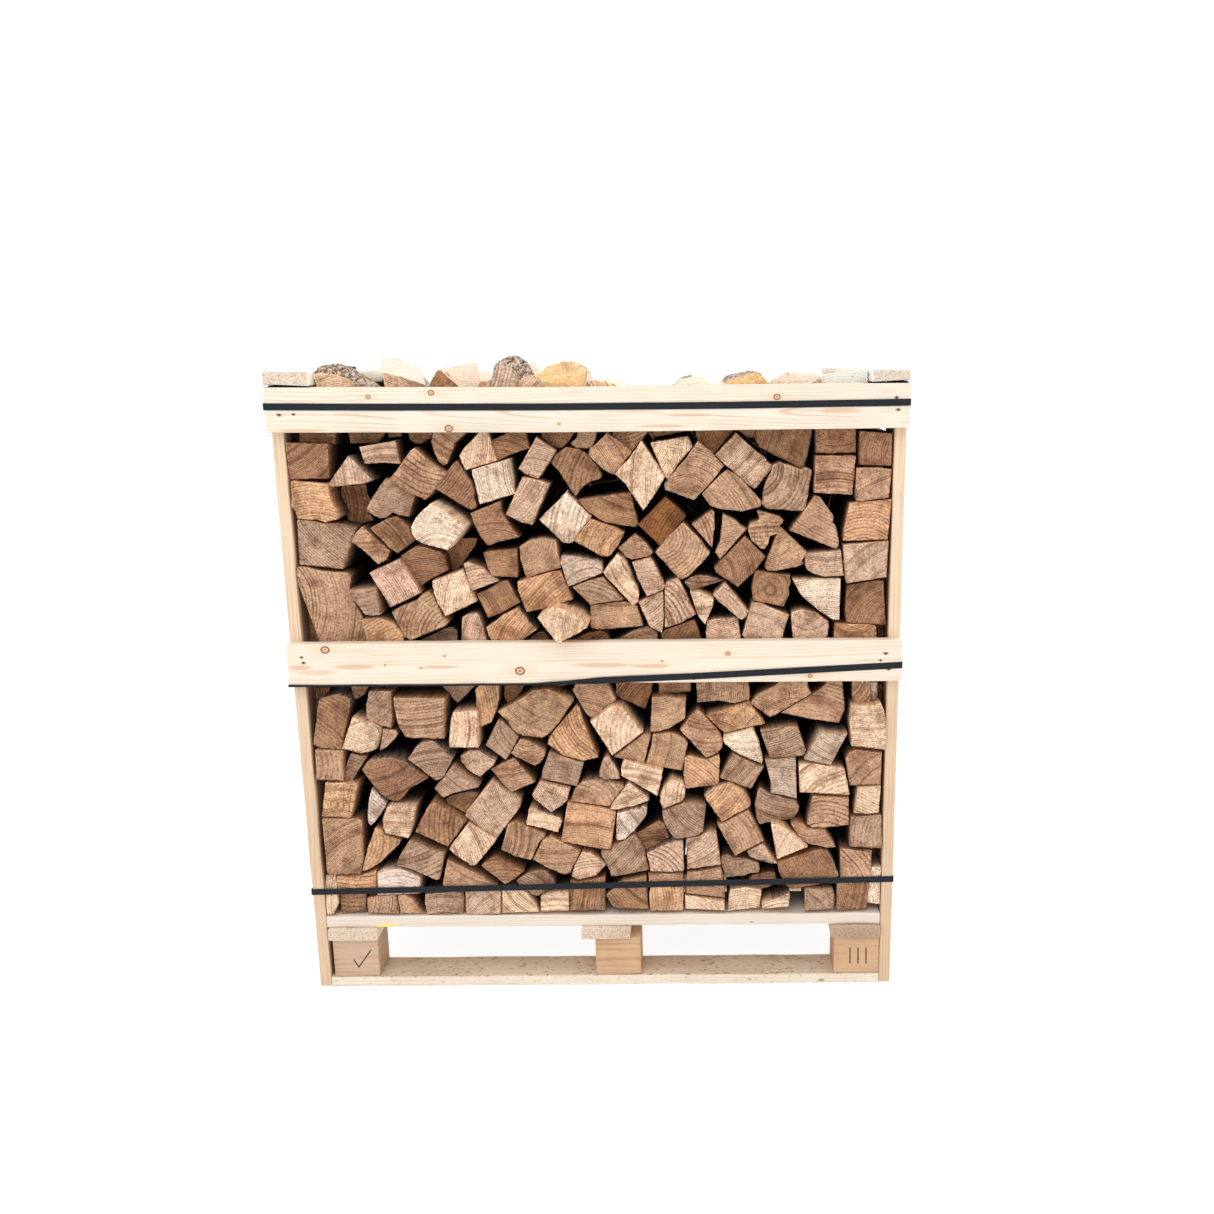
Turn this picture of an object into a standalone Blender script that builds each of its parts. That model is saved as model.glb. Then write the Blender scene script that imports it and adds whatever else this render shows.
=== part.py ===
# Crate of split ash firewood on a pallet base, bound with three straps.
# X runs along the front, -Y faces the viewer, Z is up, and the origin is on the ground under the middle.

import bmesh
import bpy
import numpy as np
from math import cos, radians, sin

OBJECT_NAME = "crate_of_firewood"

# Driving dimensions in metres
CRATE_WIDTH = 1.120
CRATE_DEPTH = 0.800
FRAME_TOP = 1.160
CONTACT_GAP = 0.0003
ROWS = {"front": -1, "middle": 0, "back": 1}

# Posts, rails and cap boards
POST_THICKNESS = 0.022
POST_DEPTH = 0.100
POST_LIFT = 0.002
POST_TOP = FRAME_TOP + 0.0026
RAIL_THICKNESS = 0.022
RAIL_HEIGHT = 0.078
RAIL_TOPS = {
    "front": {"top": FRAME_TOP, "middle": 0.702},
    "back": {"top": FRAME_TOP - 0.018, "middle": 0.702},
}
CAP_WIDTHS = {"left": 0.081, "right": 0.067}
CAP_TOPS = {"left": 1.187, "right": 1.183}
CAP_LIFT = 0.004

# Pallet
BOTTOM_BOARD = {"depth": 0.074, "thickness": 0.022}
BLOCK = {"width": 0.088, "depth": 0.070}
BLOCK_CENTRES_X = {"left": -0.4855, "middle": 0.0275, "right": 0.4935}
STRINGER = {"width": 0.095, "thickness": 0.0244, "overhang": 0.008}
STRINGER_CENTRES_X = {"left": -0.4870, "middle": 0.0050, "right": 0.4900}
DECK_BOARD = {"depth": 0.095, "thickness": 0.024}
DECK_BOARD_COUNT = 5
DECK_TOP = 0.151

# Straps
STRAP_WIDTH = 0.012
STRAP_THICKNESS = 0.0008
STRAP_CLEARANCE = 0.0005
TOP_STRAP_Z = 1.1265
TOP_STRAP_SAG = {-0.360: 0.0020, -0.070: 0.0036, 0.250: 0.0030}
MIDDLE_STRAP_RIGHT_Z = 0.655
MIDDLE_STRAP_TUCK_X = (-0.140, -0.020)
MIDDLE_STRAP_STEP = 0.013
MIDDLE_STRAP_SAG = 0.002
BOTTOM_STRAP_Z = 0.2125
BOTTOM_STRAP_SLOPE = 0.0166

# Logs, and the solid core that the ends of a row stand out of
LOG_LENGTH = 0.250
LOG_SHRINK = 0.050
LOG_FLOOR = DECK_TOP + 0.0005
LOG_REACH_X = {"stack": (-0.5372, 0.5372), "heap": (-0.4780, 0.4920)}
ROW_FRONTS_Y = {"front": -0.400, "middle": -0.125, "back": 0.150}
HEAP_PLANES_Y = {"h": ROW_FRONTS_Y["front"], "k": ROW_FRONTS_Y["middle"], "j": ROW_FRONTS_Y["back"]}
HELD_SETBACK = 0.0006
HEAP_CORNER_TOLERANCE = 0.0045
FRONT_CORNER_TOLERANCE = 0.0105
BACK_CORNER_TOLERANCE = 0.0175
SLIM_LOG_SHARE = 0.45
SETBACK_STEP = 0.0002
SETBACK_STEPS = 13
LOG_ROOT_DEPTH = 0.060
LOG_ANCHOR_DEPTH = 0.015
SIDE_LOG_REACH = 0.045
CORE_SIDE_INSET = 0.020
CORE_BOTTOM = 0.172
CORE_TOP = 1.140
WELD = 0.00001

half_width = CRATE_WIDTH / 2
half_depth = CRATE_DEPTH / 2
inner_half_width = half_width - POST_THICKNESS
rail_face = half_depth + CONTACT_GAP + RAIL_THICKNESS

# Viewpoint that the outlines below are seen from, in metres, radians and photo pixels
EYE = np.array([0.1994, -2.382, 1.1973])
EYE_PITCH = radians(12.421)
EYE_ROLL = radians(-0.414)
FOCAL_LENGTH_PX = 1113.3
PICTURE_CENTRE_PX = np.array([703.6, 607.0])

# Each log's name, how far its end stands out of the row in millimetres, and its outline in photo pixels.
# Logs named h, k and j lie heaped on the front, middle and back rows, n are hidden behind the top rail,
# s stand beside the front posts, u are in the upper bay, and l and m in the lower one.
LOG_OUTLINES_PX = """
h01 0 380,404 318,406 309,372 316,367.5 326,364.5 336,363.5 348,366.5 372,380.5 382,388
h02 0 424,404 388,405 382,373 402,376.5 426,385
h04 0 456,405 430,405 427,388 436,370.5 440,370 460,388
h05 -30 481,404 462,405 456,384 450,378 447,370 452,366.5 476,362 480,382
h06 -5 492,404 489,388 494,366 498,361 510,355.5 516,355.5 522,358 527,362 534,374 530,392 512,404
h07 8 514,404 511,390 518,381.5 524,377.5 530,375 535,375.5 541.5,388 540,404
h08 3 578,404 552,404 544,386 536,375 547,366 563,361 570,361 583,365.5 587,368.5 587,373
h09 -5 618,404 590,404 584,390 586,382 595,380 605,381 613,383.5 621,388
h10 0 710,404 674,404 671,387 681,378.5 693,376 700,377 707,381 712,387
h11 0 722,404 719,387 730,378 755,371.5 760,373 770,384 768,404
h12 -10 824,404 764,404 764,385 786,372 808,373 822,376 828,386
h13 -15 868,404 822,404 819,390 818,375 843,372 868.5,369.5 869,381.5
h14 0 490,404 477,404 476,388 480,381 486,380.5 489,384
k02 0 430,402 386,402 383,360 396,357.5 405,362 415,369 430,384
k03 0 474,403 442,403 441,386 452,375 466,372 475,384
k04 0 528,402 500,402 496,386 504,366 514,361 527,371 531,388
k05 0 580,402 550,402 545,386 552,372 566,366 578,371 583,386
k06 0 708,403 678,403 676,389 684,381 700,380 709,389
k07 0 764,402 728,402 726,389 738,379 753,377 765,388
k08 0 820,402 787,402 783,389 792,377 810,376 821,386
k09 0 862,402 832,402 830,386 838,375 861,374
j02 0 462,399 433,400 431,388 441,378 456,378 463,388
j03 0 527,399 500,399 497,384 506,364 519,363 529,380
j04 0 578,399 549,399 548,380 558,367 572,367 580,380
j05 0 703,400 676,400 676,388 686,382 699,383
j06 0 762,399 734,399 733,386 744,379 758,381
j07 0 815,399 789,400 787,386 796,377 810,379 816,388
n1 -30 312,386 312,440 286,440 286,386
n2 -30 388,438 388,406 402,406 401,437
n3 -25 505,392 509,426 490,429 472,428 470,395
n4 -25 537,394 538,427 512,429 509,396
n5 -25 652,438 650,396 688,394 688,431
n6 -25 737,396 756,396 756,438 748,438 738,431
n7 -25 890,428 860,427 860,382 889,382
s01 0 867,867.5 883.8,867 883.4,905.5 867,904.5
s02 -40 299,556 306,556 318,600 324,640 324,655 299,655
s03 -40 307,688 330,688 320,716 307,716
s04 -45 872,618 889,618 889,650 872,650
s05 -20 870,682 877.5,682 877.5,700 870.5,700
s06 -50 866,684 890,684 890,722 872,716
u01 -25 299,410 336,410 335.5,445 328,443 318,447 299,448
u02 0 285,442.5 328,444 328.5,479 286,480
u03 5 290.5,481 327,484 331,500 339.5,517 336,520 325,522.5 318,520.5 297,519 295,512 291.5,507
u04 10 372,480.5 363,484 331.5,487 328,484 347,456 350,457.5
u05 -35 343,412 384,410 385,434 378,443 349,444
u06 -5 400,464.5 385,463 364,464 359,447 395,440.5
u07 -55 341,486 366,484 367,492 370,500 367,509 374,521 349,526.5 344,502 341,495
u08 -5 414,497 408,517.5 399,516 392,513 386,518 380,519 372,515 366,510 369,502 385,478 399,486
u09 10 388,480 395,472 409,451 413,448 431,464 446,474 430,495 424,500.5 421,498 412,495
u10 0 296.5,520 312,520.5 322,523.5 336,523.5 355,528.5 343,569.5 298.5,565
u11 -5 386,560 378,565 361,549 350,541 356,532 362,526.5 389.5,551.5
u12 0 369,528.5 387,518.5 396,517 409,527 413.5,541.5 397,553.5 389,548
u13 55 464,528 450,548 446,551 425,545 415,540 412,534 411,527 415,518 429,504 444,511.5 457,521
u14 5 475,509 470,510 462,506 435,488.5 453,463 456,461 472,484 474,491 473,498 476,505
u15 -10 468,406 466,433 455,443 447,464 443,466 438,461 434,453 431,441 440,408
u16 5 487,431 497,461 465,470.5 459,456 463,449 479,432
u17 -10 498,461 490,441 512,431 525,429 530,448 510,455
u18 12 509,459 514.5,494 479,505 471,470
u19 0 536,437 556,451 538,479.5 524,474 518,469
u20 5 549,484.5 532,525 522,523 505,515 522,477 540,480.5
u21 5 470,513.5 500,501 501,512 514,532 519,537.5 498,542 490,545.5 487,545 481,538 476,529
u22 -30 578,410 576,432 565,446 560,449 552,446 541,437 541,410
u23 -10 550,462 556,454 566,447 578,449 586,453 598,467 602.5,476 600,479 590,482 583,487 575,497 558,471
u24 -15 598,412 597,433 595,441 591,449 575,448 570,444 576,438 582,412
u25 0 588,455 589,450 607,433 630,449 632,452 614,475 602,469
u26 -15 612,412 646,410 648,432 633,451 628,449 612,436
u27 12 643,511 625,484 615,474 620,467 628,460 641,441 665,477 654,496
u28 10 650,443 688,436.5 693,447 679,463 668,480 664,476
u29 5 698,441 712,453 724,466 713,481 694,501 665,490 664,484 687,457
u30 -25 691,412 735,410 733,432 714,454 697,440
u31 12 715,455.5 736,433 758,453 765,457 768,462 774,467 755,490 746,484
u32 0 761,507 742,512 718,509 710,506 702,494 720,475 727,470 735,474 742,480 756,495 762,502
u33 0 638,525 665,497 678,508 686,517 664,543 660,546
u34 5 578,500 630,493 638,525 635,528.5 604,523 588,512
u35 12 566,493 591,517 576,536 574,541 570,544 563,543 538,520
u36 5 574,541 577,535 590,519 615,528 624,533 618,546 609,557 602,557
u37 -5 653.5,553 648,557 632,560 626,557.5 618,548 635,534 646,543
u38 5 526,580 520,560 519,547 530,540 545,538 556,540 561,568 536,575
u39 0 518,577.5 492,576.5 488,570 483,553 490,551 517,549
u40 8 572,600 542,609.5 526,612.5 518,591 517,582 548,573 560,571
u41 5 561,555 578,556 597,560 602,563 603,573 568,587 560,562
u42 8 633,606 606,577 603,572 617,554 622,556 627,562 637,587 639,596 638,602
u43 0 624,600 590,605 572,587 590,580 603,577
u44 0 590,629 590,606 624,602 637,606 643,626 608,630 597,630.5
u45 5 632,563 650,558 654,563 665,586 663,590 647,597 638,580
u46 8 683,523 697,536 710,553 704,561 690,575 683,580 678,578 655,553 668,537
u47 50 537,618 552,607 562,609 572,613 580,617 588,624 587,628 580,633 562,642 560,645 557,645
u48 -20 612,660 575,664 568,652 573,639 590,632 600,630.5 607,632 611,641
u49 -10 620,664 613,642 632,631 640,628 648,627 658,634 656,662
u50 0 663,591 664,618 663,628 661,632 656,631 649,626 638,602
u51 5 664.8,628 664.6,590 666,583 678,578 696,615 679,624
u52 -15 664,664 661,640 661.5,634 665,630 695,619.5 704,646 704,662
u53 12 690,592 700,592.5 714,599 713,606 705,625 698,616
u54 -15 724,581 691,591 684,582 690,577 700,575 712,577
u55 5 725,583 749,612 746,617 742,620 738,618 717,600 713,595
u56 0 709,666 706,633 707,621 715,619 738,618 742,646 742,664
u57 10 755,664 750,642 742,636 752,602 760,603 789,615 781,642 779,662
u58 0 756,571 790,575 791,582 789,588 789,595 784,607 753,601 752,590 753,580
u59 0 766,557 754,573 738,588 716,573 714,568 745,536
u60 0 723,514 735,520 740,525 747,529 720,560 715,553 720,541
u61 5 757,511 780,517 784,521 780,526 781,530 770,537 768,545 765,549 761,549 751,540 748,530 750,524
u62 0 712,548 692,525 712,510 714,512 715,525
u63 5 781,528 808,553 802,561 804,564 798,567 776,571 768,571 765,568 768,558 776,537
u64 0 766,509 762,504 763,495 766,481 771,473 773,465 780,462 801,469.5 806,467.5 812,470 806,508 803,511.5
u65 -20 757,412 812,410 812,433 808,455 804,468 800,468.5 760,448 755,440
u66 5 836,549 790,531 815,496 820,497 832,513 834,518 833,522 836,526 839,540 839,546
u67 -5 815.5,411 856.5,409 856.5,453 830,454 816,453
u68 5 856,456 852.5,495 814,493 816,456
u69 0 860,431 892.5,433.5 892,466 859,465
u70 5 856.5,502 855.5,490 857,468 882,468 893,470 889.5,498
u71 3 892,499.5 888,539.5 843,541.5 844,530 850,503
u72 5 889,541 887,578 847,584 845,575 843,545
u73 -10 846,622.5 845,610 847,586 872,581.5 884,580.8 886,625
u74 0 836,666 834,641 835,624 872,625.5 877,627 878,664
u75 5 806,554 841,550 844,576 825,577.5 815,575 808,571 805,565
u76 12 839.5,620 833,620 818,610 803,597 799,592 793,580 841,579.5
u77 0 796,664 791,618 792,612 800,609 815,612 828,621 829,626 827,643 827,662
u78 -45 478,538 475,546 461,566 455,571 450,570 442,551 450,547 456,541 462,538
u79 -10 400,556 416,546 424,547 440,552 444,556 448,571 430,580 420,587 415,582
u80 5 369,573 399,559.5 415,583 420,594 390,608
u81 0 390,613 400,607 417,600 422,594 428,592 433,596 443,617 449,621 446,626 410,641 404,638
u82 8 445,617 437,604 433,594 431,582 462,570 476,602
u83 0 499,581 471,591.5 463,564 468,562 484,568 488,573
u84 -5 476,594 483,592 502,581 507,580.5 520,603 500,614 488,618
u85 -5 463,664 461,643 462,617 468,614 476,612.5 479,615 488,644 488,662
u86 8 495,662 492,642 488,636 486,628 502,616 518,607 537,630 523,640 522,660
u87 -30 528,662 528,640 533,635 540,631 545,633 551,641 553,660
u88 -30 420,662 417,642 445,628.5 452,627 457,631 458,660
u89 5 368,664 322,664 317,642 298,585 295.5,575 297,567 345,573 350,576 348,590 353,604 361,619 368,644
u90 10 380,615 372,616 365,615 350,596 349,590 375,588
u91 5 404,660 368,662 365,634 361,620 378,617 394,624 403,635
u92 -25 404,412 432,412 436,433 434,437 420,444 415,444 409,440
l01 0 341,750 320,748 313,745 318,701 322,698 338,694 345,696 349,699 350,705
l02 3 315,750 342,751 343,782 316,780
l03 0 358,782.5 351,819 320.5,818 325,783
l04 3 321,820 358,820 361,822 363,860 360,874.5 331,875 327,873
l05 1 335,876 338,905 333,915 327,915 324,890 325,877
l06 0 337,892 336.5,876.5 362,875.5 376,870.5 376,891
l07 -8 366,894 366,911 341,914 340,894.5
l08 3 399,914 367,913 366.5,899 375,897 396,895.5
l09 0 425,914 400,914 397.5,895.5 405,895 412,899 420,910
l10 3 377,896 377,873 382,869.5 402,869 420,876.5 420.5,893.5
l11 0 362,871 367,850 375,828 382,829.5 384,835.5 401,841 397,847 379,864 366,871
l12 0 371,789 386,804 385,808 375,822 371,825.5 368,823 367,812 368,800
l13 12 416,807 413,824 408,839 385,834 383,829 382,820 387,806
l14 5 361,770 366,763 372,759 390,757.5 407,763 412,768 428,778.5 410,789 399,802 385,800 374,789
l15 -10 344.5,781.5 345,768 350,754 367,757 356,774 353,781
l16 10 341,749.5 352,717.5 372,723.5 379.5,727.5 379,735 375,750 368,753 360,754
l17 3 391,691 392,718 391,728 377,725.5 366,719 366,705 369,691
l18 12 444.5,698.5 444,739 406,738 399,728 394,710 393,698
l19 -25 372,668 368,688 365,694 356,700 353,697 351,688 350,668
l20 -8 379,751.5 383,728.5 396,730 398,733 395,739 386,748
l21 8 407,760 416,747 424,741 433,741 453,758 444,777 440,780 435,781
l22 15 478,748 449,748.5 448,740 449,728 450,718 452,713.5 470,711.5 477,712
l23 -25 436,666 476,666 475,686 457.5,704 440,686
l24 -3 499,668 499,700 497,709 491,723 478,728 475,690 478,687 488,668
l25 -30 527,668 524,686 521,693 511,703 507,704 504,697 503,668
l26 12 573,702 558,724 548,735 522,736 511,729 507,722 497,713 525,697 532,691 548,690 571,699
l27 -3 498,719.5 504,722 519,737 509,756 505,761 485,746
l28 0 510.5,754 520,739 527,740 545,750 545,755 543,760 535,767 514,757
l29 5 496,761 493,766 480,777 472,773 466,768 461,762 460,757 470,750.5 478,750.5
l30 10 480,785 478,787.5 453,793.5 443,798 434,789 443,779 452,765.5
l31 -8 479,792.5 474,803 465,813 447,803.5 446,800 450,796.5 460,793.5 470,791.5
l32 5 465,816 466,812 491,781 507,793.5 515,797 520,801 520,808 497,838 480,828
l33 15 466,822.5 447,848.5 415,832 426,810 430,804.5 434,802
l34 12 496,839.5 494,844 475,867 470,867 456,857 448.5,849.5 468,823.5
l35 8 396,865 399,857 409,841 416,842.5 434,851 444,853 439,880 436,880.5 411,869.5
l36 0 497,887 495,890 443,892 443,880 447,860 484,878
l37 3 481,866 490,858.5 496,857.5 524,871.5 515,879 505,885
l38 0 501,850 508,823.5 514,821.5 546,834.5 544,839 540,841.5 531,861 515,857
l39 3 533,860 543,840 551,836.5 581,851.5 570,874 564,876 546,868
l40 3 571.5,876 574.5,866 582,852 590,853 597,857 606,865.5 596,876 578,880
l41 -10 516,881 526,873.5 540,869.5 546,870.5 550,874.5 554,880 556,886 538,896.5 533,896 520,887
l42 5 529,808.5 545,812.5 561,818.5 562,822 558,833 526,824.5
l43 3 570,789 567,801 562,806 551,813 534,799 532,795 540,781.5
l44 0 541,779.5 542,772 549,752 578,761.5 584,762 577,787.5
l45 3 598,758 583,761 573,759 563,756 547,745 549,738 554,731 576,706 579,709 583,722
l46 -3 577,670 606,670 608,684 616,700 612,704 606,707 597,717 592,719 586,714 572,690 575,686
l47 15 612,757 590,722 596,718.5 608,708 614,706 622,706.5 643,733
l48 -18 618,668 652,668 653,684 652,692 645,710 620,699 615,694
l49 -12 657,668 690,668 691,691.5 659,694.5
l50 5 650,733 652,697.5 665,696.5 686,698.5 685,719 669,729 660,732
l51 0 614,757 643,734.5 647,733 651,734.5 644,764
l52 3 645.5,765.5 651.5,745 652.5,734.5 668,733 678,735 684,739 688,744 682,772.5
l53 12 624,761 663,770.5 658,796.5 621,776 621,768
l54 -5 608,755 616,766 619,772 620,779 604,780 599,777 600,768 604,757.5
l55 3 570,802 574,791 583,781 598,779.5 622,784 624,787 609,807
l56 8 610,809 613,803 629,783 647,797 649,801 636,806 616,810
l57 10 561,841.5 567,804 600,808.5 616,813 611,849 600,849
l58 8 617,842 615.5,840 617,813.5 640,808.5 643,805 647,806.5 647,813 645,818 634,832 624,841
l59 3 649,872 617,878 611,878 609,871 602,857 601,850.5 611,850.5 613,845 620,843 634,835 637,838 644,851
l60 -18 635,834 659,820 664,823 670,837 647,850 644,850
l61 3 683,840.5 684,871 672,872.5 650.5,872.5 646.5,853.5 668,843 676,840.5
l62 0 648.5,886 648.5,874.5 683,873.5 684,885
l63 0 570,911 570,881 577,882.5 605,877 605,910
l64 3 540.5,912 540.5,897 550,892.5 569,890 569,911
l65 0 646.5,876 648,909 622,908.5 613,907 606,896 609,892 622,881
l66 3 684,886 683,911 650,911 649,898 650,887
l67 3 725,898.5 686,893.5 685.5,885 687,873 700,872 720.5,868 724,880
l68 3 725,911 685,911 685,896.5 724.5,901.5
l69 3 727.5,911 730,890 745,887.5 762,890.5 760,909
l70 -15 778,884 770,888 763,889.5 752,889 749,879 752,875.5 770,872.5 775,873.5
l71 3 762,909 762,903 790,893 789,907
l72 3 805,911 805,889.5 833,889.5 835,897 834,909
l73 0 836,910 837,883 870,882 867,909 843,911
l74 3 777,862 820,849 827,850 833,860 839,875 838,880 825,884 792,890.5 788,888 783,882 779,872
l75 12 771,824 778,824.5 786,828.5 808,847 777,860
l76 3 777.5,864 772,864 757,860 750,857 747,852 762,844 765,846
l77 5 735,857 717,825 723,824.5 748,810 764,841
l78 8 704,797 709,791 716,787 723,784 730,783 743,790 751,804 750,807 722,824 706,802
l79 -12 760,869 758,873 751,873 745,876 725,878 720.5,861 722,856 728,855 733,858 745,858 759,863
l80 3 687,871 687,838.5 698,837.5 710,831 716,832 721,865.5
l81 5 706,806 703,832 698,836 682,839 674,839 666,827 663,820 662,811 684,803 698,804
l82 12 663,809 660,802 660,795 664,787 672,778.5 683,784.5 685,790 685,797 682,802
l83 -3 686,789.5 684,785 683.5,775 684.5,757 690,756 706,759.5 719,754.5 720,760 719,785
l84 3 697,710.5 700,712 716,728.5 721,735 723,742 722,749 718,753.5 706,758 680,730 690,717
l85 5 706,716 749,702.5 765,724 724,733
l86 -3 696,668 745,668 749,684 750,696 749,700 735,703.5 718,701.5 697,703.5
l87 12 762,764 740,755 731,749.5 725,744 723,740 724,736 753,728.5 759,743 763,760
l88 3 720,778 733,753.5 757,765 764,767 751,789
l89 0 806,672 809,690 812,693.5 775,716 770,718 750,704 757,695 775,686 790,672
l90 3 781,714 820,690.5 827,684 830,672 842,672 845,710 839,723 812,720
l91 3 760,730.5 790,726.5 798,727 806,750 804,756 770,759
l92 3 797,799 771,793 771,783 765,760.5 796,758
l93 12 848,734 831,766 804.5,760 820,732 840,734.5
l94 12 886,750 852,747 850,722 852,706 870,706 881,703 884,710 887,725
l95 -10 853,668 870,668 871,693 870,704.5 853,703.5 852,693
l96 3 881,785 850,787 846,760 850,753 856,750.5 882,753
l97 8 799,764.5 808,763.5 818,764.5 845,769.5 850,795.5 800,792.5
l98 3 849,798 849,825 825,828 812,828 807,825 813,796.5
l99 -8 760,787 770,794 796,801 800,808 799,813 793,821 780,822 760,826 756,820 755,805 757,793
m01 3 836,847 828,848 808,844 800,840 791,824.5 797,823 803,824 808,829 825,830
m02 5 881,786.5 879,813 868,814.5 854,813.5 858,788
m03 5 883,848.5 850,847 851,818.5 882,816
m04 3 840.5,880.5 840.5,849 862,851.5 872,851 871,879
m05 -30 570,668 570,684 555,690 548,689 543,686 542,668
m06 35 425,894 462.5,891.5 464,910 462,917 435,917.5 427,915 425,905
m07 3 464.5,891.5 501,890.5 501,914 488,915.5 465.5,915.5
m08 3 502,913.5 502,890.5 512,890 521,890 526,893 536,905 539,912
m09 -8 535.5,782 511,793 503,786 490,770.5 513,758.5
"""


def remove_everything():
    for thing in list(bpy.data.objects):
        bpy.data.objects.remove(thing)


def new_collection(name):
    collection = bpy.data.collections.new(name)
    bpy.context.scene.collection.children.link(collection)
    return collection


def principled(name, colour, roughness):
    material = bpy.data.materials.new(name)
    material.use_nodes = True
    shader = material.node_tree.nodes["Principled BSDF"]
    shader.inputs["Base Color"].default_value = (*colour, 1.0)
    shader.inputs["Roughness"].default_value = roughness
    shader.inputs["Metallic"].default_value = 0.0
    return material


def place(name, mesh, collection):
    solid = bpy.data.objects.new(name, mesh)
    collection.objects.link(solid)
    return solid


def board(name, low, high, material):
    """A sawn board that fills the box from low to high."""
    body = bmesh.new()
    bmesh.ops.create_cube(body, size=1.0)
    bmesh.ops.scale(body, vec=[b - a for a, b in zip(low, high)], verts=body.verts)
    mesh = bpy.data.meshes.new(name)
    body.to_mesh(mesh)
    body.free()
    mesh.materials.append(material)
    place(name, mesh, parts).location = [(a + b) / 2 for a, b in zip(low, high)]


def prism(name, outline, near, far, collection):
    """A flat outline of (x, z) points run along Y from near to far."""
    curve = bpy.data.curves.new(name, "CURVE")
    curve.dimensions = "2D"
    curve.fill_mode = "BOTH"
    curve.extrude = (far - near) / 2
    spline = curve.splines.new("POLY")
    spline.points.add(len(outline) - 1)
    for point, (x, z) in zip(spline.points, outline):
        point.co = (x, z, 0, 1)
    spline.use_cyclic_u = True
    drawn = place(name, curve, bpy.context.scene.collection)
    drawn.location.y = (near + far) / 2
    drawn.rotation_euler.x = radians(90)
    bpy.context.view_layer.update()
    mesh = bpy.data.meshes.new_from_object(drawn.evaluated_get(bpy.context.evaluated_depsgraph_get()))
    upright = drawn.matrix_world.copy()
    bpy.data.objects.remove(drawn)
    body = bmesh.new()
    body.from_mesh(mesh)
    bmesh.ops.remove_doubles(body, verts=body.verts, dist=WELD)
    bmesh.ops.recalc_face_normals(body, faces=body.faces)
    body.to_mesh(mesh)
    body.free()
    solid = place(name, mesh, collection)
    solid.matrix_world = upright
    return solid


def pallet():
    """Bottom boards, blocks, stringers and deck boards, stacked with a hair of clearance at each face."""
    reach = inner_half_width - CONTACT_GAP
    stringer_high = DECK_TOP - DECK_BOARD["thickness"] - CONTACT_GAP
    stringer_low = stringer_high - STRINGER["thickness"]
    stringer_end = half_depth + STRINGER["overhang"]
    for row, side_y in ROWS.items():
        bottom_y = side_y * (half_depth - BOTTOM_BOARD["depth"] / 2)
        bottom_half = BOTTOM_BOARD["depth"] / 2
        board(
            f"{row}_bottom_board",
            (-reach, bottom_y - bottom_half, 0.0),
            (reach, bottom_y + bottom_half, BOTTOM_BOARD["thickness"]),
            board_wood,
        )
        block_y = side_y * (half_depth - BLOCK["depth"] / 2)
        block_low = BOTTOM_BOARD["thickness"] + CONTACT_GAP
        for side, x in BLOCK_CENTRES_X.items():
            board(
                f"{row}_{side}_block",
                (x - BLOCK["width"] / 2, block_y - BLOCK["depth"] / 2, block_low),
                (x + BLOCK["width"] / 2, block_y + BLOCK["depth"] / 2, stringer_low - CONTACT_GAP),
                block_wood,
            )
    for side, x in STRINGER_CENTRES_X.items():
        board(
            f"{side}_stringer",
            (x - STRINGER["width"] / 2, -stringer_end, stringer_low),
            (x + STRINGER["width"] / 2, stringer_end, stringer_high),
            block_wood,
        )
    last_y = half_depth - DECK_BOARD["depth"] / 2
    for number, y in enumerate(np.linspace(-last_y, last_y, DECK_BOARD_COUNT), 1):
        board(
            f"deck_board_{number}",
            (-reach, y - DECK_BOARD["depth"] / 2, DECK_TOP - DECK_BOARD["thickness"]),
            (reach, y + DECK_BOARD["depth"] / 2, DECK_TOP),
            board_wood,
        )


def frame():
    """Six posts, a top and a middle rail on the front and on the back, of which the back top one lies a
    little lower, and a cap board along each side."""
    for side, side_x in (("left", -1), ("right", 1)):
        inner, outer = sorted((side_x * inner_half_width, side_x * half_width))
        for row, side_y in ROWS.items():
            post_y = side_y * (half_depth - POST_DEPTH / 2)
            board(
                f"{row}_{side}_post",
                (inner, post_y - POST_DEPTH / 2, POST_LIFT),
                (outer, post_y + POST_DEPTH / 2, POST_TOP),
                post_wood,
            )
        inner_edge = side_x * (half_width - CAP_WIDTHS[side])
        outer_edge = side_x * half_width
        seat = FRAME_TOP + CONTACT_GAP
        outline = [
            (outer_edge, seat + CAP_LIFT),
            (inner_edge, seat),
            (inner_edge, CAP_TOPS[side]),
            (outer_edge, CAP_TOPS[side]),
        ]
        cap = prism(f"{side}_cap_board", outline, -rail_face, rail_face, parts)
        cap.data.materials.append(rail_wood)
    for row, side_y in (("front", -1), ("back", 1)):
        near, far = sorted((side_y * (half_depth + CONTACT_GAP), side_y * rail_face))
        for height, top in RAIL_TOPS[row].items():
            board(
                f"{row}_{height}_rail",
                (-half_width, near, top - RAIL_HEIGHT),
                (half_width, far, top),
                rail_wood,
            )


def strap(name, stations):
    """A flat band round the crate through (x, distance of its face from the middle plane, z) along the
    front from left to right, and back along the other side in mirror image."""
    front = [(x, -reach, z) for x, reach, z in stations]
    back = [(x, reach, z) for x, reach, z in reversed(stations)]
    body = bmesh.new()
    low = [body.verts.new((x, y, z - STRAP_WIDTH / 2)) for x, y, z in front + back]
    high = [body.verts.new((x, y, z + STRAP_WIDTH / 2)) for x, y, z in front + back]
    for start in range(len(low)):
        end = (start + 1) % len(low)
        body.faces.new((low[start], low[end], high[end], high[start]))
    mesh = bpy.data.meshes.new(name)
    body.to_mesh(mesh)
    body.free()
    mesh.materials.append(strap_plastic)
    shell = place(name, mesh, parts).modifiers.new("thickness", "SOLIDIFY")
    shell.thickness = STRAP_THICKNESS
    shell.offset = 1.0
    shell.use_even_offset = True


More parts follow.
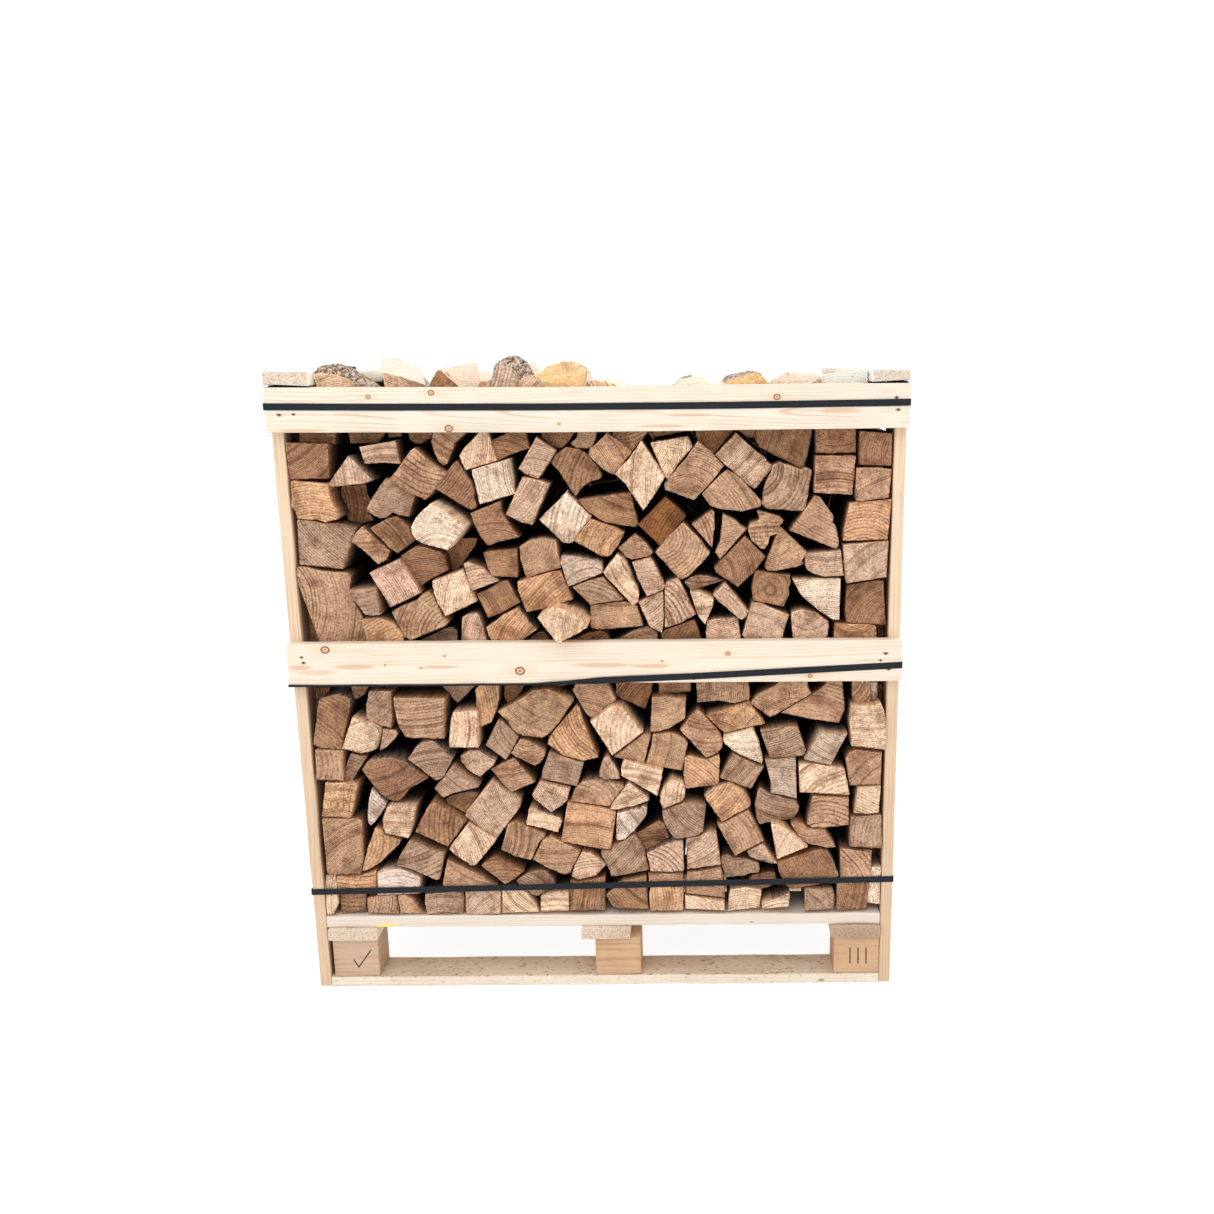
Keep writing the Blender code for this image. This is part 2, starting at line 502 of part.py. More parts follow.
def straps():
    """The top strap sags a little along the top rails, the middle one slips from the rail's face at the right
    to under its lower edge at the left, and the bottom one slopes across the logs."""
    side = half_width + STRAP_CLEARANCE
    on_rail = rail_face + STRAP_CLEARANCE
    on_post = half_depth + STRAP_CLEARANCE
    sagging = [(x, on_rail, TOP_STRAP_Z - sag) for x, sag in TOP_STRAP_SAG.items()]
    strap("top_strap", [(-side, on_rail, TOP_STRAP_Z), *sagging, (side, on_rail, TOP_STRAP_Z)])
    under_rail = RAIL_TOPS["front"]["middle"] - RAIL_HEIGHT - STRAP_WIDTH / 2 - STRAP_CLEARANCE
    strap(
        "middle_strap",
        [
            (-side, on_post, under_rail - MIDDLE_STRAP_SAG),
            (MIDDLE_STRAP_TUCK_X[0], on_rail, under_rail),
            (MIDDLE_STRAP_TUCK_X[1], on_rail, under_rail + MIDDLE_STRAP_STEP),
            (side, on_rail, MIDDLE_STRAP_RIGHT_Z),
        ],
    )
    strap("bottom_strap", [(-side, on_post, bottom_strap_z(-side)), (side, on_post, bottom_strap_z(side))])


def bottom_strap_z(x):
    return BOTTOM_STRAP_Z + BOTTOM_STRAP_SLOPE * x


def on_plane(points_px, y):
    """Where the sight lines through photo pixels meet the upright plane at this Y, as (x, z) points."""
    across, up = ((points_px - PICTURE_CENTRE_PX) * (1, -1) / FOCAL_LENGTH_PX).T
    level_across = across * cos(EYE_ROLL) - up * sin(EYE_ROLL)
    level_up = across * sin(EYE_ROLL) + up * cos(EYE_ROLL)
    forward = cos(EYE_PITCH) + level_up * sin(EYE_PITCH)
    rise = -sin(EYE_PITCH) + level_up * cos(EYE_PITCH)
    reach = (y - EYE[1]) / forward
    return np.column_stack([EYE[0] + reach * level_across, EYE[2] + reach * rise])


def thinned(points, tolerance):
    """The corners that keep a closed outline within a tolerance of itself."""

    def kept(run):
        chord = run[-1] - run[0]
        offsets = run - run[0]
        away = np.abs(chord[0] * offsets[:, 1] - chord[1] * offsets[:, 0]) / np.hypot(*chord)
        farthest = int(away.argmax())
        if away[farthest] <= tolerance:
            return [run[0]]
        return kept(run[: farthest + 1]) + kept(run[farthest:])

    first = int(np.hypot(*(points - points.mean(axis=0)).T).argmax())
    points = np.roll(points, -first, axis=0)
    second = int(np.hypot(*(points - points[0]).T).argmax())
    return np.array(kept(points[: second + 1]) + kept(np.vstack([points[second:], points[:1]])))


def read_logs():
    """Each log's name, how far back from the front plane its end lies, and its outline there."""
    logs = []
    rail_tops = [top for row in RAIL_TOPS.values() for top in row.values()]
    for line in LOG_OUTLINES_PX.split("\n")[1:-1]:
        name, stand_out, *pairs = line.split()
        points_px = np.array([pair.split(",") for pair in pairs], dtype=float)
        setback = -float(stand_out) / 1000
        row_plane = HEAP_PLANES_Y.get(name[0], -half_depth)
        outline = on_plane(points_px, row_plane + setback)
        low, high = outline[:, 1].min(), outline[:, 1].max()
        behind_rail = any(low < top and high > top - RAIL_HEIGHT for top in rail_tops)
        strap_z = bottom_strap_z(outline[:, 0].mean())
        behind_strap = abs(strap_z - np.clip(strap_z, low, high)) < STRAP_WIDTH
        if setback < HELD_SETBACK and (behind_rail or behind_strap):
            setback = HELD_SETBACK
            outline = on_plane(points_px, row_plane + setback)
        in_heap = name[0] in HEAP_PLANES_Y
        middle = outline.mean(axis=0)
        outline = middle + (outline - middle) * (1 if in_heap else 1 - LOG_SHRINK)
        left, right = LOG_REACH_X["heap" if in_heap else "stack"]
        outline[:, 0] = np.clip(outline[:, 0], left, right)
        outline[:, 1] = np.maximum(outline[:, 1], LOG_FLOOR)
        logs.append((name, setback, outline))
    return logs


def log_row(name, letters, row_front, side_y, tolerance, ends_show):
    """One row of logs as a solid: a core with each log's end standing out of it, and the whole length of
    the logs at its sides, top and bottom. letters are those of the logs that the row holds, and side_y is
    -1 for a row that faces the front."""
    core_near = row_front + LOG_ROOT_DEPTH
    core_far = row_front + LOG_LENGTH
    joined = new_collection(f"{name}_one_by_one")
    for number, (log_name, setback, outline) in enumerate(logs):
        if log_name[0] not in letters:
            continue
        on_side = np.abs(outline[:, 0]).max() > inner_half_width - SIDE_LOG_REACH
        on_end = outline[:, 1].min() < CORE_BOTTOM or outline[:, 1].max() > CORE_TOP
        if not (ends_show or on_side or on_end):
            continue
        step = (1 + number % SETBACK_STEPS) * SETBACK_STEP
        near = row_front + setback + step
        far = core_far - step if on_side or on_end else core_near + LOG_ANCHOR_DEPTH
        slim = outline.ptp(axis=0).min() * SLIM_LOG_SHARE
        fine = HEAP_CORNER_TOLERANCE if log_name[0] in HEAP_PLANES_Y else tolerance
        corners = thinned(outline, min(slim, fine))
        y_range = sorted((-side_y * near, -side_y * far))
        cutter = prism(f"{name}_{log_name}", corners, *y_range, joined)
        cutter.hide_render = True
        cutter.display_type = "WIRE"
    core_half = inner_half_width - CORE_SIDE_INSET
    low_y, high_y = sorted((-side_y * core_near, -side_y * core_far))
    board(name, (-core_half, low_y, CORE_BOTTOM), (core_half, high_y, CORE_TOP), log_wood)
    union = bpy.data.objects[name].modifiers.new("logs", "BOOLEAN")
    union.operation = "UNION"
    union.operand_type = "COLLECTION"
    union.collection = joined
    union.solver = "MANIFOLD"


remove_everything()
parts = new_collection(OBJECT_NAME)
rail_wood = principled("rail_wood", (0.86, 0.74, 0.56), 0.62)
post_wood = principled("post_wood", (0.74, 0.57, 0.41), 0.66)
board_wood = principled("board_wood", (0.78, 0.62, 0.46), 0.66)
block_wood = principled("block_wood", (0.55, 0.38, 0.24), 0.7)
log_wood = principled("log_wood", (0.50, 0.33, 0.21), 0.75)
strap_plastic = principled("strap_plastic", (0.018, 0.022, 0.034), 0.35)

pallet()
frame()
straps()
logs = read_logs()
log_row("front_logs", "hnsulm", ROW_FRONTS_Y["front"], -1, FRONT_CORNER_TOLERANCE, True)
log_row("middle_logs", "knulm", ROW_FRONTS_Y["middle"], -1, BACK_CORNER_TOLERANCE, False)
log_row("back_logs", "jnulm", ROW_FRONTS_Y["front"], 1, BACK_CORNER_TOLERANCE, True)
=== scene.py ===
import math

import bpy
import numpy as np
from mathutils import Matrix, Vector


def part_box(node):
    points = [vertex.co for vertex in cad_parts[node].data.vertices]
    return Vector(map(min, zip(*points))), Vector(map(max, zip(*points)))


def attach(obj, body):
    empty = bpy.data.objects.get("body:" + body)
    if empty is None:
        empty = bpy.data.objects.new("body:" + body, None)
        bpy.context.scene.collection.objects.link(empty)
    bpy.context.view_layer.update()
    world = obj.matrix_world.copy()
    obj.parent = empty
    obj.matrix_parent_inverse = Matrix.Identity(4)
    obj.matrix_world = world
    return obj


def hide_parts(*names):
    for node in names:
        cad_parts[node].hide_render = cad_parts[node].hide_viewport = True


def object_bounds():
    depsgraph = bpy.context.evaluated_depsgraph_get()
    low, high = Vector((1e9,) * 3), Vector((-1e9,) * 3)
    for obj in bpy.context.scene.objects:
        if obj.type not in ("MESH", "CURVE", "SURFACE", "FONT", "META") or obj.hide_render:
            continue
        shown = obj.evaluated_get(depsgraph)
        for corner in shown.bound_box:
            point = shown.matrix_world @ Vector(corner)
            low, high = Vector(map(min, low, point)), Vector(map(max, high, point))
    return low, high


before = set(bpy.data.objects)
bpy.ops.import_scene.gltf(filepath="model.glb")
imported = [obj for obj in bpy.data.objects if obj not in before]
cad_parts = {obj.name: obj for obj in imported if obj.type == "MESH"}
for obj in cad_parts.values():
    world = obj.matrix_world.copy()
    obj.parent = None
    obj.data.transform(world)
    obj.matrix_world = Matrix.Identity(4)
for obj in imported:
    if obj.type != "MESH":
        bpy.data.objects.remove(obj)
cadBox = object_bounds()
cadLow, cadHigh = (np.array(corner) for corner in cadBox)
print("frame loaded")

# The photograph's viewpoint, which the camera and the logs' outlines share
view = {
    "eye": (0.1994, -2.382, 1.1973),
    "pitch": math.radians(12.421),
    "roll": math.radians(-0.414),
    "focalPx": 1113.3,
    "centrePx": (703.6, 607.0),
    "framePx": 1214,
    "sensorMm": 36.0,
}
# The front faces of the rails and of the posts
railFace = -0.4223
postFace = -0.4000


def onPlane(pointsPx, y):
    # Each pixel's sight line followed to the upright plane at y, as x and z in the last axis
    fromCentre = (np.array(pointsPx, float) - view["centrePx"]) * (1, -1) / view["focalPx"]
    across, up = fromCentre[..., 0], fromCentre[..., 1]
    pitch, roll = view["pitch"], view["roll"]
    levelAcross = across * math.cos(roll) - up * math.sin(roll)
    levelUp = across * math.sin(roll) + up * math.cos(roll)
    reach = (y - view["eye"][1]) / (math.cos(pitch) + levelUp * math.sin(pitch))
    rise = levelUp * math.cos(pitch) - math.sin(pitch)
    return np.stack([view["eye"][0] + reach * levelAcross, view["eye"][2] + reach * rise], axis=-1)


def placedOn(y, *spots):
    # Photo pixels with sizes in millimetres, as x, z and sizes in metres
    spots = np.array(spots, float)
    return [(*place, *sizes) for place, sizes in zip(onPlane(spots[:, :2], y), spots[:, 2:] / 1000)]


def linear(rgb):
    # A display colour of 0 to 255 as scene-linear
    share = np.array(rgb, float) / 255
    return tuple(np.where(share <= 0.04045, share / 12.92, ((share + 0.055) / 1.055) ** 2.4))


class Wire:
    # A shader socket that takes part in sums
    def __init__(self, bench, socket):
        self.bench = bench
        self.socket = socket

    def __add__(self, other):
        return self.bench.math("ADD", self, other)

    def __sub__(self, other):
        return self.bench.math("SUBTRACT", self, other)

    def __rsub__(self, other):
        return self.bench.math("SUBTRACT", other, self)

    def __mul__(self, other):
        return self.bench.math("MULTIPLY", self, other)

    def __truediv__(self, other):
        return self.bench.math("DIVIDE", self, other)

    def __abs__(self):
        return self.bench.math("ABSOLUTE", self)

    __radd__ = __add__
    __rmul__ = __mul__


class Finish:
    # A material with its nodes, written as expressions
    def __init__(self, name, slot):
        self.material = bpy.data.materials.new(name)
        self.material.use_nodes = True
        self.tree = self.material.node_tree
        self.shader = self.tree.nodes["Principled BSDF"]
        self.slot = slot

    def node(self, kind, settings=None, inputs=None, output=0):
        made = self.tree.nodes.new(kind)
        for key, value in (settings or {}).items():
            setattr(made, key, value)
        for key, value in (inputs or {}).items():
            self.feed(made.inputs[key], value)
        return Wire(self, made.outputs[output])

    def feed(self, socket, value):
        if isinstance(value, Wire):
            self.tree.links.new(value.socket, socket)
        else:
            socket.default_value = (*value, 1.0) if socket.type == "RGBA" else value

    def math(self, operation, first, second=0.0):
        return self.node("ShaderNodeMath", {"operation": operation}, {0: first, 1: second})

    def hypot(self, x, y):
        return self.math("SQRT", x * x + y * y)

    def step(self, value, low, high):
        # 0 below low, 1 above high and smooth between
        settings = {"interpolation_type": "SMOOTHSTEP"}
        return self.node("ShaderNodeMapRange", settings, {"Value": value, "From Min": low, "From Max": high})

    def mix(self, share, first, second, blend="MIX"):
        settings = {"data_type": "RGBA", "blend_type": blend}
        return self.node("ShaderNodeMix", settings, {0: share, 6: first, 7: second}, 2)

    def times(self, colour, factor):
        return self.mix(1.0, colour, factor, "MULTIPLY")

    def tint(self, share, colour, factor):
        # A colour towards that colour times the factor
        return self.mix(share, colour, self.times(colour, factor))

    def attribute(self, name, output="Fac"):
        return self.node("ShaderNodeAttribute", {"attribute_name": name}, output=output)

    def place(self):
        return self.node("ShaderNodeTexCoord", output="Object")

    def split(self, vector):
        made = self.node("ShaderNodeSeparateXYZ", inputs={0: vector})
        return [Wire(self, output) for output in made.socket.node.outputs]

    def join(self, x, y, z):
        return self.node("ShaderNodeCombineXYZ", inputs={0: x, 1: y, 2: z})

    def stretch(self, parts, across, up, along):
        # Coordinates times a factor each
        return self.join(parts[0] * across, parts[1] * up, parts[2] * along)

    def noise(self, vector, detail=3.0, rough=0.55, scale=1.0, warp=0.0):
        inputs = {"Vector": vector, "Scale": scale, "Detail": detail, "Roughness": rough, "Distortion": warp}
        return self.node("ShaderNodeTexNoise", {}, inputs)

    def bump(self, height, distance, strength):
        return self.node("ShaderNodeBump", {}, {"Height": height, "Distance": distance, "Strength": strength})

    def dress(self, **sockets):
        for name, value in sockets.items():
            self.feed(self.shader.inputs[name.replace("_", " ")], value)


def pieceFromArrays(name, points, faces, finish, node, smoothAngle=40.0):
    # One object from vertex and face arrays, riding with the crate in place of its solid
    mesh = bpy.data.meshes.new(name)
    mesh.from_pydata(points, [], faces)
    mesh.validate()
    mesh.shade_smooth()
    mesh.set_sharp_from_angle(angle=math.radians(smoothAngle))
    mesh.materials.append(finish.material)
    piece = bpy.data.objects.new(name, mesh)
    bpy.context.scene.collection.objects.link(piece)
    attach(piece, "root")
    if node:
        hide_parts(node)
    return piece


def addAttribute(piece, name, values, domain="POINT"):
    # One, three or four numbers for each point or face
    elements = piece.data.vertices if domain == "POINT" else piece.data.polygons
    kind, field = {
        1: ("FLOAT", "value"), 3: ("FLOAT_VECTOR", "vector"), 4: ("FLOAT_COLOR", "color"),
    }[values.size // len(elements)]
    layer = piece.data.attributes.new(name, kind, domain)
    layer.data.foreach_set(field, np.ascontiguousarray(values, np.float32).ravel())


def ramp(values, low, reach):
    # 0 up to low and 1 from low plus reach
    return ((values - low) / reach).clip(0, 1)


def tubeFaces(around, stations):
    # The quads along a tube, then those between the two rings that close each end, and the triangles that join
    # the inner ring to the end's centre point. The second end is wound the other way.
    here = np.arange(around)
    after = (here + 1) % around
    quads = [np.stack([here, here + around, after + around, after], 1) + k * around for k in range(stations - 1)]
    triangles = []
    for end, sense in ((0, 1), (1, -1)):
        start = stations * around + end * (2 * around + 1)
        loops = [end * (stations - 1) * around, start, start + around]
        for outer, inner in zip(loops, loops[1:]):
            quads.append(np.stack([outer + here, outer + after, inner + after, inner + here], 1)[:, ::sense])
        centre = np.full(around, start + 2 * around)
        triangles.append(np.stack([loops[-1] + here, loops[-1] + after, centre], 1)[:, ::sense])
    return np.concatenate(quads), np.concatenate(triangles)


